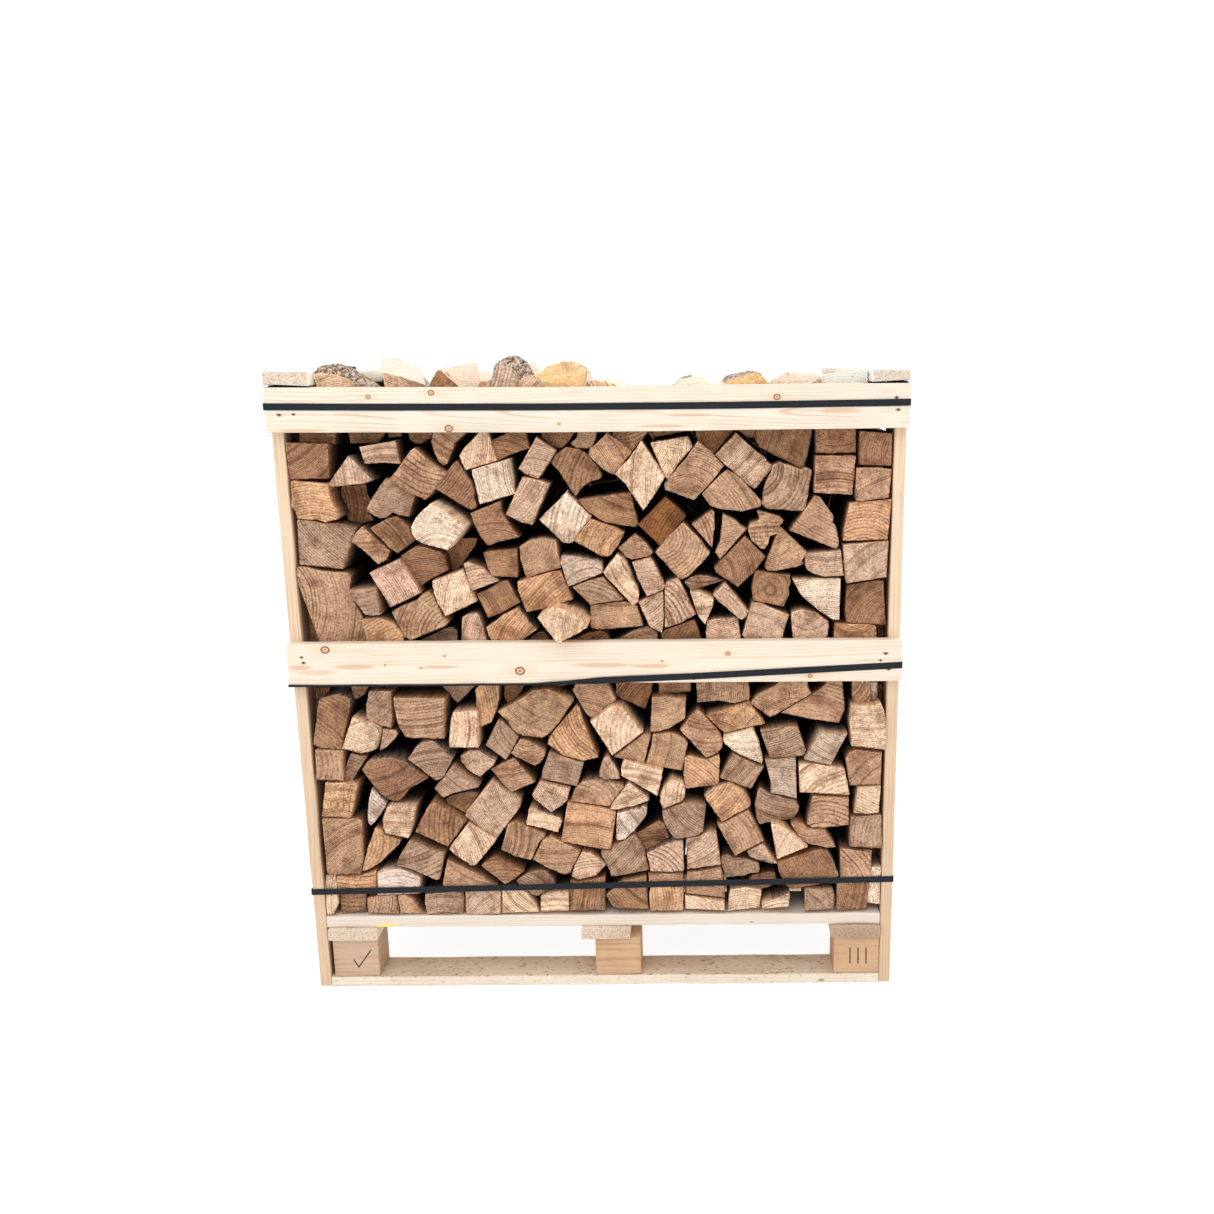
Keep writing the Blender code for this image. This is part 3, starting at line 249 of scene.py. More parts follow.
# One line for each log: its name, tone, how far its end stands out in millimetres, the direction of its
# grain lines in degrees or a number above 400 for rings round its middle, the side that bark is on in degrees
# or all or -, and its outline in photo pixels.
# h, k and j lie heaped on the front, middle and back rows, n are hidden behind the top rail, s stand
# beside the front posts, u are in the upper bay, and l and m in the lower one.
logTable = """
h14 o 0 30 - 490,404 477,404 476,388 480,381 486,380.5 489,384
h01 c 0 0 all 380,404 318,406 309,372 316,367.5 326,364.5 336,363.5 348,366.5 372,380.5 382,388
h01f c 2 10 - 362,404 319,406 316,386 311,375 318,372.5 330,373.5 343,377 354,382 362,388
h02 p 1 -35 - 424,404 388,405 382,372 402,376.5 426,385
h04 d 0 35 - 456,405 430,405 427,388 436,370.5 440,370 460,388
h05 y -30 0 - 481,404 462,405 456,384 450,378 447,370 452,366.5 476,362 480,382
h06 g -5 40 all 492,404 489,388 494,366 498,361 510,355.5 516,355.5 522,358 527,362 534,374 530,392 512,404
h06f q 0 70 - 492,404 490,388 494,371 500,362.5 504,361.5 511,366.5 517,375 520,383 514,390 508,404
h07 p 8 45 - 514,404 508,390 518,381.5 524,377.5 530,375 535,375.5 541.5,388 540,404
h08 f 3 12 -10 578,404 552,404 544,386 536,375 547,366 563,361 574,361.5 583,365.5 587.5,368.5 587,376 583,388
h09 c -5 -50 - 618,404 590,404 584,390 586,382 595,380 605,381 613,383.5 621,388
h10 z 0 10 150 710,404 674,404 671,387 681,378.5 693,376 700,377 707,381 712,387
h11 f 0 20 100 722,404 719,387 730,378 755,371.5 760,373 770,384 768,404
h12 y -10 5 - 824,404 764,404 764,385 786,372 808,373 822,376 828,386
h12f p -8 40 - 824,404 804,404 805,386 820,377.5 825,386
h13 x -15 0 - 868,404 822,404 819,390 818,375 843,372 868.5,369.5 869,381.5
k02 x 0 0 - 430,402 386,402 383,360 396,357.5 405,362 415,369 430,384
k03 p 0 30 - 474,403 442,403 441,386 452,375 466,372 475,384
k04 g 0 45 90 528,402 500,402 496,386 504,366 514,361 527,371 531,388
k05 z 0 10 - 580,402 550,402 545,386 552,372 566,366 578,371 583,386
k06 z 0 0 - 708,403 678,403 676,389 684,381 700,380 709,389
k07 o 0 20 90 764,402 728,402 726,389 738,379 753,377 765,388
k08 p 0 60 - 820,402 787,402 783,389 792,377 810,376 821,386
k09 c 0 0 - 862,402 832,402 830,386 838,375 861,374
j02 c 0 35 90 462,399 433,400 431,388 441,378 456,378 463,388
j03 t 0 20 - 527,399 500,399 497,384 506,364 519,363 529,380
j04 p 0 0 90 578,399 549,399 548,380 558,367 572,367 580,380
j05 c 0 15 - 703,400 676,400 676,388 686,382 699,383
j06 t 0 60 - 762,399 734,399 733,386 744,379 758,381
j07 p 0 30 90 815,399 789,400 787,386 796,377 810,379 816,388
n1 k -30 0 - 312,386 312,440 286,440 286,386
n2 b -30 0 - 388,438 388,406 402,406 401,437
n3 b -25 0 - 505,392 509,426 490,429 472,428 470,395
n4 b -25 0 - 537,394 538,427 512,429 509,396
n5 b -25 0 - 652,438 650,396 688,394 688,431
n6 b -25 0 - 737,396 756,396 756,438 748,438 738,431
n7 k -25 0 - 890,428 860,427 860,382 889,382
u01 b -25 0 - 299,410 336,410 335.5,445 328,443 318,447 299,448
u02 b 0 35 - 285,442.5 328,444 328.5,479 286,480
u03 o 5 0 - 290.5,481 327,484 331,500 339.5,517 336,520 325,522.5 318,520.5 297,519 295,512 291.5,507
u04 p 10 95 45 372,480.5 363,484 331.5,487 328,484 347,456 350,457.5
u05 b -35 0 - 343,412 384,410 385,434 378,443 349,444
u06 p -5 5 - 400,464.5 385,463 364,464 359,447 395,440.5
u07 d -55 90 - 341,486 366,484 367,492 370,500 367,509 374,521 349,526.5 344,502 341,495
u08 g -5 0 - 414,497 408,517.5 399,516 392,513 386,518 380,519 372,515 366,510 369,502 385,478 399,486
u09 t 10 -30 - 388,480 395,472 409,451 413,448 431,464 446,474 430,495 424,500.5 421,498 412,495
u10 g 0 -45 - 296.5,520 312,520.5 322,523.5 336,523.5 355,528.5 343,569.5 298.5,565
u11 t -5 0 - 386,560 378,565 361,549 350,541 356,532 362,526.5 389.5,551.5
u12 b 0 -50 - 369,528.5 387,518.5 396,517 409,527 413.5,541.5 397,553.5 389,548
u13 w 55 0 - 464,528 450,548 446,551 425,545 415,540 412,534 411,527 415,518 429,504 444,511.5 457,521
u14 b 5 50 20 475,509 470,510 462,506 435,488.5 453,463 456,461 472,484 474,491 473,498 476,505
u15 t -10 -35 - 468,406 466,433 455,443 447,464 443,466 438,461 434,453 431,441 440,408
u16 c 5 80 - 487,431 497,461 465,470.5 459,456 463,449 479,432
u17 b -10 -15 - 498,461 490,441 512,431 525,429 530,448 510,455
u18 w 12 -80 - 509,459 514.5,494 479,505 471,470
u19 p 0 -10 - 536,437 556,451 538,479.5 524,474 518,469
u20 p 5 50 - 549,484.5 532,525 522,523 505,515 522,477 540,480.5
u21 b 5 0 - 470,513.5 500,501 501,512 514,532 519,537.5 498,542 490,545.5 487,545 481,538 476,529
u22 b -30 -60 - 578,410 576,432 565,446 560,449 552,446 541,437 541,410
u23 b -10 70 - 550,462 556,454 566,447 578,449 586,453 598,467 602.5,476 600,479 590,482 583,487 575,497 558,471
u24 t -15 0 - 598,412 597,433 595,441 591,449 575,448 570,444 576,438 582,412
u25 t 0 -60 225 588,455 589,450 607,433 630,449 632,452 614,475 602,469
u26 t -15 20 - 612,412 646,410 648,432 633,451 628,449 612,436
u27 c 12 85 - 643,511 625,484 615,474 620,467 628,460 641,441 665,477 654,496
u28 c 10 70 - 650,443 688,436.5 693,447 679,463 668,480 664,476
u29 t 5 -15 250 698,441 712,453 724,466 713,481 694,501 665,490 664,484 687,457
u30 d -25 60 - 691,412 735,410 733,432 714,454 697,440
u31 p 12 45 - 715,455.5 736,433 758,453 765,457 768,462 774,467 755,490 746,484
u32 t 0 -55 270 761,507 742,512 718,509 710,506 702,494 720,475 727,470 735,474 742,480 756,495 762,502
u33 r 0 60 - 638,525 665,497 678,508 686,517 664,543 660,546
u34 b 5 -25 - 578,500 630,493 638,525 635,528.5 604,523 588,512
u35 w 12 75 225 566,493 591,517 576,536 574,541 570,544 563,543 538,520
u36 o 5 60 - 574,541 577,535 590,519 615,528 624,533 618,546 609,557 602,557
u37 t -5 -10 - 653.5,553 648,557 632,560 626,557.5 618,548 635,534 646,543
u38 t 5 50 - 526,580 520,560 519,547 530,540 545,538 556,540 561,568 536,575
u39 b 0 0 - 518,577.5 492,576.5 488,570 483,553 490,551 517,549
u40 o 8 45 - 572,600 542,609.5 526,612.5 518,591 517,582 548,573 560,571
u41 q 5 20 90 561,555 578,556 597,560 602,563 603,573 568,587 560,562
u42 c 8 -55 40 633,606 606,577 603,572 617,554 622,556 627,562 637,587 639,596 638,602
u43 g 0 -20 - 624,600 590,605 572,587 590,580 603,577
u44 t 0 0 - 590,629 590,606 624,602 637,606 643,626 608,630 597,630.5
u45 p 5 5 - 632,563 650,558 654,563 665,586 663,590 647,597 638,580
u46 t 8 55 - 683,523 697,536 710,553 704,561 690,575 683,580 678,578 655,553 668,537
u47 c 50 80 - 537,618 552,607 562,609 572,613 580,617 588,624 587,628 580,633 562,642 560,645 557,645
u48 b -20 20 - 612,660 575,664 568,652 573,639 590,632 600,630.5 607,632 611,641
u49 t -10 20 120 620,664 613,642 632,631 640,628 648,627 658,634 656,662
u50 p 0 40 - 663,591 664,618 663,628 661,632 656,631 649,626 638,602
u51 p 5 -55 - 664.8,628 664.6,590 666,583 678,578 696,615 679,624
u52 b -15 60 - 664,664 661,640 661.5,634 665,630 695,619.5 704,646 704,662
u53 c 12 0 - 690,592 700,592.5 714,599 713,606 705,625 698,616
u54 g -15 0 - 724,581 691,591 684,582 690,577 700,575 712,577
u55 p 5 -45 - 725,583 749,612 746,617 742,620 738,618 717,600 713,595
u56 p 0 0 - 709,666 706,633 707,621 715,619 738,618 742,646 742,664
u57 p 10 -30 - 755,664 750,642 742,636 752,602 760,603 789,615 781,642 779,662
u58 b 0 500 0 756,571 790,575 791,582 789,588 789,595 784,607 753,601 752,590 753,580
u59 b 0 -65 - 766,557 754,573 738,588 716,573 714,568 745,536
u60 t 0 15 180 723,514 735,520 740,525 747,529 720,560 715,553 720,541
u61 t 5 0 - 757,511 780,517 784,521 783,524 780,526 781,530 778,534 770,537 768,545 765,549 761,549 751,540 \
748,530 750,524 760,520
u62 t 0 -70 0 712,548 692,525 712,510 714,512 715,525
u63 t 5 30 - 781,528 808,553 802,561 804,564 798,567 776,571 768,571 765,568 768,558 776,537
u64 g 0 60 - 766,509 762,504 763,495 766,481 771,473 773,465 780,462 801,469.5 806,467.5 812,470 806,508 803,511.5
u65 b -20 75 - 757,412 812,410 812,433 808,455 804,468 800,468.5 760,448 755,440
u66 t 5 -30 0 836,549 790,531 815,496 820,497 832,513 834,518 833,522 836,526 839,540 839,546
u67 b -5 0 - 815.5,411 856.5,409 856.5,453 830,454 816,453
u68 t 5 0 - 856,456 852.5,495 814,493 816,456
u69 b 0 80 - 860,431 892.5,433.5 892,466 859,465
u70 t 5 25 - 856.5,502 855.5,490 857,468 882,468 893,470 889.5,498
u71 o 3 -5 - 892,499.5 888,539.5 843,541.5 844,530 850,503
u72 p 5 40 - 889,541 887,578 847,584 845,575 843,545
u73 b -10 45 - 846,622.5 845,610 847,586 872,581.5 884,580.8 886,625
u74 o 0 5 - 836,666 834,641 835,624 872,625.5 877,627 878,664
u75 p 5 0 270 806,554 841,550 844,576 825,577.5 815,575 808,571 805,565
u76 w 12 0 - 839.5,620 833,620 818,610 803,597 799,592 793,580 841,579.5
u77 p 0 0 - 796,664 791,618 792,612 800,609 815,612 828,621 829,626 827,643 827,662
u78 d -45 60 - 478,538 475,546 461,566 455,571 450,570 442,551 450,547 456,541 462,538
u79 b -10 0 - 400,556 416,546 424,547 440,552 444,556 448,571 430,580 420,587 415,582
u80 p 5 -60 - 369,573 399,559.5 415,583 420,594 390,608
u81 t 0 60 - 390,613 400,607 417,600 422,594 428,592 433,596 443,617 449,621 446,626 410,641 404,638
u82 c 8 75 - 445,617 437,604 433,594 431,582 462,570 476,602
u83 p 0 10 - 499,581 471,591.5 463,564 468,562 484,568 488,573
u84 b -5 -60 - 476,594 483,592 502,581 507,580.5 520,603 500,614 488,618
u85 p -5 80 - 463,664 461,643 462,617 468,614 476,612.5 479,615 488,644 488,662
u86 o 8 60 20 495,662 492,642 488,636 486,628 502,616 518,607 537,630 523,640 522,660
u87 b -30 0 - 528,662 528,640 533,635 540,631 545,633 551,641 553,660
u88 g -30 0 - 420,662 417,642 445,628.5 452,627 457,631 458,660
u89 t 5 80 - 368,664 322,664 317,642 298,585 295.5,575 297,567 305,567 320,571 345,573 350,576 348,590 \
353,604 361,619 368,644
u90 g 10 10 - 380,615 372,616 365,615 350,596 349,590 375,588
u91 o 5 30 - 404,660 368,662 365,634 361,620 378,617 394,624 403,635
u92 b -25 0 - 404,412 432,412 436,433 434,437 420,444 415,444 409,440
l01 b 0 -40 90 341,750 320,748 313,745 318,701 322,698 338,694 345,696 349,699 350,705
l02 t 3 85 - 315,750 342,751 343,782 316,780
l03 o 0 0 - 358,782.5 351,819 320.5,818 325,783
l04 t 3 35 - 321,820 358,820 361,822 363,860 360,874.5 331,875 327,873
l05 c 1 85 - 335,876 338,905 333,915 327,915 324,890 325,877
l06 o 0 0 - 337,892 336.5,876.5 362,875.5 376,870.5 376,891
l07 b -8 0 - 366,894 366,911 341,914 340,894.5
l08 t 3 80 - 399,914 367,913 366.5,899 375,897 396,895.5
l09 t 0 -55 - 425,914 400,914 397.5,895.5 405,895 412,899 420,910
l10 v 3 0 - 377,896 377,873 382,869.5 402,869 420,876.5 420.5,893.5
l11 o 0 75 - 362,871 367,850 375,828 382,829.5 384,835.5 401,841 397,847 379,864 366,871
l12 v 0 -40 180 371,789 386,804 385,808 375,822 371,825.5 368,823 367,812 368,800
l13 c 12 0 180 416,807 413,824 408,839 385,834 383,829 382,820 387,806
l14 b 5 25 80 361,770 366,763 372,759 390,757.5 400,759.5 407,763 412,768 428,778.5 410,789 399,802 392,803 \
385,800 374,789
l15 g -10 -20 - 344.5,781.5 345,768 350,754 367,757 356,774 353,781
l16 c 10 15 - 341,749.5 352,717.5 372,723.5 379.5,727.5 379,735 375,750 368,753 360,754
l17 g 3 45 - 391,691 392,718 391,728 377,725.5 366,719 366,705 369,691
l18 t 12 5 - 444.5,698.5 444,739 406,738 399,728 394,710 393,698
l19 t -25 0 - 372,668 368,688 365,694 356,700 353,697 351,688 350,668
l20 p -8 60 0 379,751.5 383,728.5 396,730 398,733 395,739 386,748
l21 g 8 10 20 407,760 416,747 424,741 433,741 453,758 444,777 440,780 435,781
l22 c 15 85 180 478,748 449,748.5 448,740 449,728 450,718 452,713.5 470,711.5 477,712
l23 g -25 40 - 436,666 476,666 475,686 457.5,704 440,686
l24 o -3 -80 0 499,668 499,700 497,709 491,723 478,728 475,690 478,687 488,668
l25 d -30 60 - 527,668 524,686 521,693 511,703 507,704 504,697 503,668
l26 t 12 -25 - 573,702 558,724 548,735 542,738 522,736 516,733 511,729 507,722 497,713 525,697 532,691 548,690 571,699
l27 g -3 -60 - 498,719.5 504,722 519,737 509,756 505,761 485,746
l28 t 0 0 - 510.5,754 520,739 527,740 545,750 545,755 543,760 535,767 514,757
l29 p 5 -35 60 496,761 493,766 480,777 472,773 466,768 461,762 460,757 470,750.5 478,750.5
l30 g 10 -40 300 480,785 478,787.5 453,793.5 443,798 434,789 443,779 452,765.5
l31 b -8 25 90 479,792.5 474,803 465,813 447,803.5 446,800 450,796.5 460,793.5 470,791.5
l32 p 5 -60 - 465,816 466,812 491,781 507,793.5 515,797 520,801 520,808 497,838 480,828
l33 b 15 85 - 466,822.5 447,848.5 415,832 426,810 430,804.5 434,802
l34 c 12 -70 - 496,839.5 494,844 475,867 470,867 456,857 448.5,849.5 468,823.5
l35 g 8 20 - 396,865 399,857 409,841 416,842.5 434,851 444,853 439,880 436,880.5 411,869.5
l36 t 0 -30 - 497,887 495,890 443,892 443,880 447,860 484,878
l37 b 3 0 - 481,866 490,858.5 496,857.5 524,871.5 515,879 505,885
l38 t 0 80 - 501,850 508,823.5 514,821.5 546,834.5 544,839 540,841.5 531,861 515,857
l39 t 3 0 - 533,860 543,840 551,836.5 581,851.5 570,874 564,876 546,868
l40 p 3 10 - 571.5,876 574.5,866 582,852 590,853 597,857 606,865.5 596,876 578,880
l41 g -10 -40 - 516,881 526,873.5 540,869.5 546,870.5 550,874.5 554,880 556,886 538,896.5 533,896 520,887
l42 c 5 -10 60 529,808.5 545,812.5 561,818.5 562,822 558,833 526,824.5
l43 p 3 -60 - 570,789 567,801 562,806 551,813 534,799 532,795 540,781.5
l44 g 0 -10 - 541,779.5 542,772 549,752 578,761.5 584,762 577,787.5
l45 o 3 -55 - 598,758 583,761 573,759 563,756 547,745 549,738 554,731 576,706 579,709 583,722
l46 t -3 -15 225 577,670 606,670 608,684 616,700 612,704 606,707 597,717 592,719 586,714 572,690 575,686
l47 c 15 80 - 612,757 590,722 596,718.5 608,708 614,706 622,706.5 643,733
l48 d -18 45 - 618,668 652,668 653,684 652,692 645,710 620,699 615,694
l49 b -12 0 - 657,668 690,668 691,691.5 659,694.5
l50 t 5 15 - 650,733 652,697.5 665,696.5 686,698.5 685,719 669,729 660,732
l51 t 0 -45 - 614,757 643,734.5 647,733 651,734.5 644,764
l52 t 3 75 - 645.5,765.5 651.5,745 652.5,734.5 668,733 678,735 684,739 688,744 682,772.5
l53 c 12 -12 260 624,761 663,770.5 658,796.5 621,776 621,768
l54 p -5 -50 20 608,755 616,766 619,772 620,779 604,780 599,777 600,768 604,757.5
l55 t 3 -40 80 570,802 574,791 583,781 598,779.5 622,784 624,787 609,807
l56 c 8 20 - 610,809 613,803 629,783 647,797 649,801 636,806 616,810
l57 o 10 -8 - 561,841.5 567,804 600,808.5 616,813 611,849 600,849
l58 v 8 -55 0 617,842 615.5,840 617,813.5 640,808.5 643,805 647,806.5 647,813 645,818 634,832 624,841
l59 g 3 50 - 649,872 617,878 611,878 609,871 602,857 601,850.5 611,850.5 613,845 620,843 634,835 637,838 644,851
l60 b -18 0 - 635,834 659,820 664,823 670,837 647,850 644,850
l61 p 3 -40 110 683,840.5 684,871 672,872.5 650.5,872.5 646.5,853.5 668,843 676,840.5
l62 t 0 0 - 648.5,886 648.5,874.5 683,873.5 684,885
l63 b 0 85 - 570,911 570,881 577,882.5 605,877 605,910
l64 c 3 0 - 540.5,912 540.5,897 550,892.5 569,890 569,911
l65 b 0 -45 180 646.5,876 648,909 622,908.5 613,907 606,896 609,892 622,881
l66 o 3 90 - 684,886 683,911 650,911 649,898 650,887
l67 t 3 -10 - 725,898.5 686,893.5 685.5,885 687,873 700,872 720.5,868 724,880
l68 c 3 -45 - 725,911 685,911 685,896.5 724.5,901.5
l69 c 3 0 - 727.5,911 730,890 745,887.5 762,890.5 760,909
l70 b -15 0 - 778,884 770,888 763,889.5 752,889 749,879 752,875.5 770,872.5 775,873.5
l71 c 3 12 90 762,909 762,903 790,893 789,907
l72 g 3 -45 - 805,911 805,889.5 833,889.5 835,897 834,909
l73 b 0 80 - 836,910 837,883 870,882 867,909 843,911
l74 b 3 -55 0 777,862 820,849 827,850 833,860 839,875 838,880 825,884 792,890.5 788,888 783,882 779,872
l75 c 12 60 - 771,824 778,824.5 786,828.5 808,847 777,860
l76 p 3 0 - 777.5,864 772,864 757,860 750,857 747,852 762,844 765,846
l77 t 5 -60 - 735,857 717,825 723,824.5 748,810 764,841
l78 o 8 50 150 704,797 709,791 716,787 723,784 730,783 743,790 751,804 750,807 722,824 706,802
l79 g -12 0 - 760,869 758,873 751,873 745,876 725,878 720.5,861 722,856 728,855 733,858 745,858 759,863
l80 p 3 35 - 687,871 687,838.5 698,837.5 710,831 716,832 721,865.5
l81 g 5 -45 200 706,806 703,832 698,836 682,839 674,839 666,827 663,820 662,811 684,803 698,804
l82 c 12 80 - 663,809 660,802 660,795 664,787 672,778.5 683,784.5 685,790 685,797 682,802
l83 o -3 -40 - 686,789.5 684,785 683.5,775 684.5,757 690,756 706,759.5 719,754.5 720,760 719,785
l84 t 3 -10 - 697,710.5 700,712 716,728.5 721,735 723,742 722,749 718,753.5 706,758 680,730 690,717
l85 o 5 -30 - 706,716 749,702.5 765,724 724,733
l86 t -3 85 - 696,668 745,668 749,684 750,696 749,700 735,703.5 718,701.5 697,703.5
l87 w 12 0 - 762,764 740,755 731,749.5 725,744 723,740 724,736 753,728.5 759,743 763,760
l88 g 3 50 - 720,778 733,753.5 757,765 764,767 751,789
l89 t 0 15 - 806,672 809,690 812,693.5 775,716 770,718 750,704 757,695 775,686 790,672
l90 t 3 -10 - 781,714 820,690.5 827,684 830,672 842,672 845,710 839,723 812,720
l91 g 3 20 - 760,730.5 790,726.5 798,727 806,750 804,756 770,759
l92 q 3 -8 - 797,799 771,793 771,783 765,760.5 796,758
l93 q 12 -30 - 848,734 831,766 804.5,760 820,732 840,734.5
l94 c 12 0 - 886,750 852,747 850,722 852,706 870,706 881,703 884,710 887,725
l95 t -10 60 - 853,668 870,668 871,693 870,704.5 853,703.5 852,693
l96 t 3 45 - 881,785 850,787 846,760 850,753 856,750.5 882,753
l97 c 8 30 - 799,764.5 808,763.5 818,764.5 845,769.5 850,795.5 800,792.5
l98 t 3 -5 - 849,798 849,825 825,828 812,828 807,825 813,796.5
l99 g -8 -20 - 760,787 770,794 796,801 800,808 799,813 793,821 780,822 760,826 756,820 755,805 757,793
m01 t 3 0 - 836,847 828,848 808,844 800,840 791,824.5 797,823 803,824 808,829 825,830
m02 c 5 -30 - 881,786.5 879,813 868,814.5 854,813.5 858,788
m03 g 5 80 - 883,848.5 850,847 851,818.5 882,816
m04 t 3 -55 - 840.5,880.5 840.5,849 862,851.5 872,851 871,879
m05 b -30 0 - 570,668 570,684 555,690 548,689 543,686 542,668
m06 g 35 0 - 425,894 462.5,891.5 464,910 462,917 435,917.5 427,915 425,905
m07 p 3 40 - 464.5,891.5 501,890.5 501,914 488,915.5 465.5,915.5
m08 c 3 -45 - 502,913.5 502,890.5 512,890 521,890 526,893 536,905 539,912
m09 t -8 10 - 535.5,782 511,793 503,786 490,770.5 513,758.5
s01 w 0 90 - 867,867.5 883.8,867 883.4,905.5 867,904.5
s02 b -40 90 - 299,556 306,556 318,600 324,640 324,655 299,655
s03 d -40 90 - 307,688 330,688 320,716 307,716
s04 d -45 0 - 872,618 889,618 889,650 872,650
s05 v -20 90 - 870,682 877.5,682 877.5,700 870.5,700
s06 b -50 90 - 866,684 890,684 890,722 872,716
"""

logShape = {
    "around": {"front_upper": 56, "front_lower": 56, "middle": 20, "back": 30},
    "length": 0.250,
    "rowFronts": {"front": -0.400, "middle": -0.125, "back": 0.150},
    "heaps": {"h": "front", "k": "middle", "j": "back"},
    "stackReach": (-0.5372, 0.5372),
    "heapReach": (-0.4780, 0.4920),
    "floor": 0.1515,
    "insideBox": 0.0003,
    "heldSetback": 0.0006,
    "stations": (0.0, 0.010, 0.045, 0.1, 0.22, 0.5, 0.8, 0.99, 1.0),
    "capRings": (0.93, 0.55),
    "capRoughness": 0.00035,
    "cornerSoftness": 0.03,
    "rimWear": 0.0007,
    "fibre": (0.0005, 0.0021),
    "fibreOrders": (7, 11, 17, 23),
    "wander": 0.0016,
    "wanderOrders": (1, 2, 3),
    "endTilt": 0.05,
    "tiltFade": 0.2,
    "pithDistance": (0.05, 0.22),
    "nearPith": 0.004,
    "concentric": 400,
    "toneSpread": (0.02, 0.008),
    "barkReach": (0.35, 0.35),
    "lightFrom": (-0.4, 0.9),
    # How deep into the gaps the painted shade starts and grows, and where light falls on sides and tops instead
    "paintedGapShade": (0.003, 0.050),
    "paintedGapShadeFall": 0.6,
    "sideLight": (0.505, 0.02),
    "sideDepth": (0.05, 0.02),
    "topLight": (1.088, 0.015),
}
logTones = {
    "x": (255, 250, 240),
    "y": (255, 236, 214),
    "f": (255, 216, 158),
    "z": (255, 245, 222),
    "w": (244, 221, 197),
    "v": (235, 215, 198),
    "c": (245, 212, 180),
    "q": (208, 183, 161),
    "p": (219, 184, 157),
    "o": (220, 174, 133),
    "t": (200, 160, 127),
    "g": (188, 154, 128),
    "b": (173, 130, 96),
    "r": (144, 91, 44),
    "d": (170, 123, 86),
    # k is painted shade: near-black ends for the logs deep behind the top rail
    "k": (34, 24, 18),
}
# How plain the ends of the palest logs are, and how pale the split sides of a tone are outside the heap. In the heap
# the sides are pale in full, partly as newly split wood and partly as painted light on the lit tops.
plainTones = {"x": 0.95, "y": 0.85, "z": 0.9, "f": 0.4}
# The k logs get pale split sides so that only their ends carry the painted shade
freshTones = {"k": 0.45}
railBands = ((0.624, 0.702), (1.064, 1.160))
# How far the far end of a log in the heap lies to the right of its near end and above it, in metres, and its
# size as a share of the near end's
heapLean = {
    "h01": (-0.066, -0.002, 0.92),
    "h01f": (-0.066, -0.010, 0.8),
    "h02": (-0.068, 0.028, 1.0),
    "k02": (-0.072, -0.030, 0.75),
    "h04": (-0.042, 0.006, 1.0),
    "h05": (-0.045, -0.010, 0.9),
    "h06": (-0.036, -0.004, 0.92),
    "h06f": (-0.030, -0.020, 0.8),
    "h07": (-0.030, -0.020, 0.9),
    "h08": (-0.030, -0.010, 0.94),
    "h12": (0.014, -0.010, 0.95),
    "h13": (0.026, -0.010, 0.95),
    "k04": (-0.055, -0.030, 0.8),
}
bottomStrap = {"height": 0.2125, "slope": 0.0166, "width": 0.012}


def readLogs():
    # The table as arrays, each outline already on the plane of its log's end. Logs behind a rail or the bottom
    # strap don't stand out of the row.
    logs = []
    for line in logTable.split("\n")[1:-1]:
        name, tone, standOut, grain, bark, *pairs = line.split()
        pointsPx = np.array([pair.split(",") for pair in pairs], float)
        heap = logShape["heaps"].get(name[0])
        plane = logShape["rowFronts"][heap or "front"]
        setback = -float(standOut) / 1000
        outline = onPlane(pointsPx, plane + setback)
        low, high = outline[:, 1].min(), outline[:, 1].max()
        strapZ = bottomStrap["height"] + bottomStrap["slope"] * outline[:, 0].mean()
        behindRail = any(low < top and high > bottom for bottom, top in railBands)
        behindStrap = low - bottomStrap["width"] < strapZ < high + bottomStrap["width"]
        if setback < logShape["heldSetback"] and (behindRail or behindStrap):
            setback = logShape["heldSetback"]
            outline = onPlane(pointsPx, plane + setback)
        reach = logShape["heapReach" if heap else "stackReach"]
        logs.append({
            "name": name,
            "reach": reach,
            "tone": linear(logTones[tone]),
            "setback": setback,
            "grain": float(grain),
            "bark": math.nan if bark in ("-", "all") else math.radians(float(bark)),
            "flaky": bark == "all",
            "plain": plainTones.get(tone, 0.0),
            "freshAndLit": 1.0 if heap else freshTones.get(tone, 0.0),
            "outline": outline.clip((reach[0], logShape["floor"]), (reach[1], np.inf)),
        })
    return logs


def evenly(outline, count):
    # A closed outline at even steps of its length, each corner kept by the step nearest to it
    if np.cross(outline, np.roll(outline, -1, 0)).sum() < 0:
        outline = outline[::-1]
    closed = np.vstack([outline, outline[:1]])
    run = np.concatenate([[0], np.cumsum(np.hypot(*np.diff(closed, axis=0).T))])
    steps = np.arange(count) / count * run[-1]
    nearest = np.abs(steps[None, :] - run[:-1, None]).argmin(1)
    steps[nearest] = run[:-1]
    steps = np.sort(steps)
    return np.stack([np.interp(steps, run, closed[:, axis]) for axis in (0, 1)], axis=-1)


def waves(rng, angle, along, orders, size):
    # A sum of cosines round the log whose phases drift along it, one set for each log
    count = angle.shape[0]
    total = 0.0
    for order in orders:
        phase = rng.uniform(0, 2 * np.pi, (count, 1, 1))
        drift = rng.normal(0, 1.2, (count, 1, 1))
        total = total + np.cos(order * angle[:, None, :] + phase + drift * along[None, :, None]) / order**0.55
    return size * total / len(orders) ** 0.5


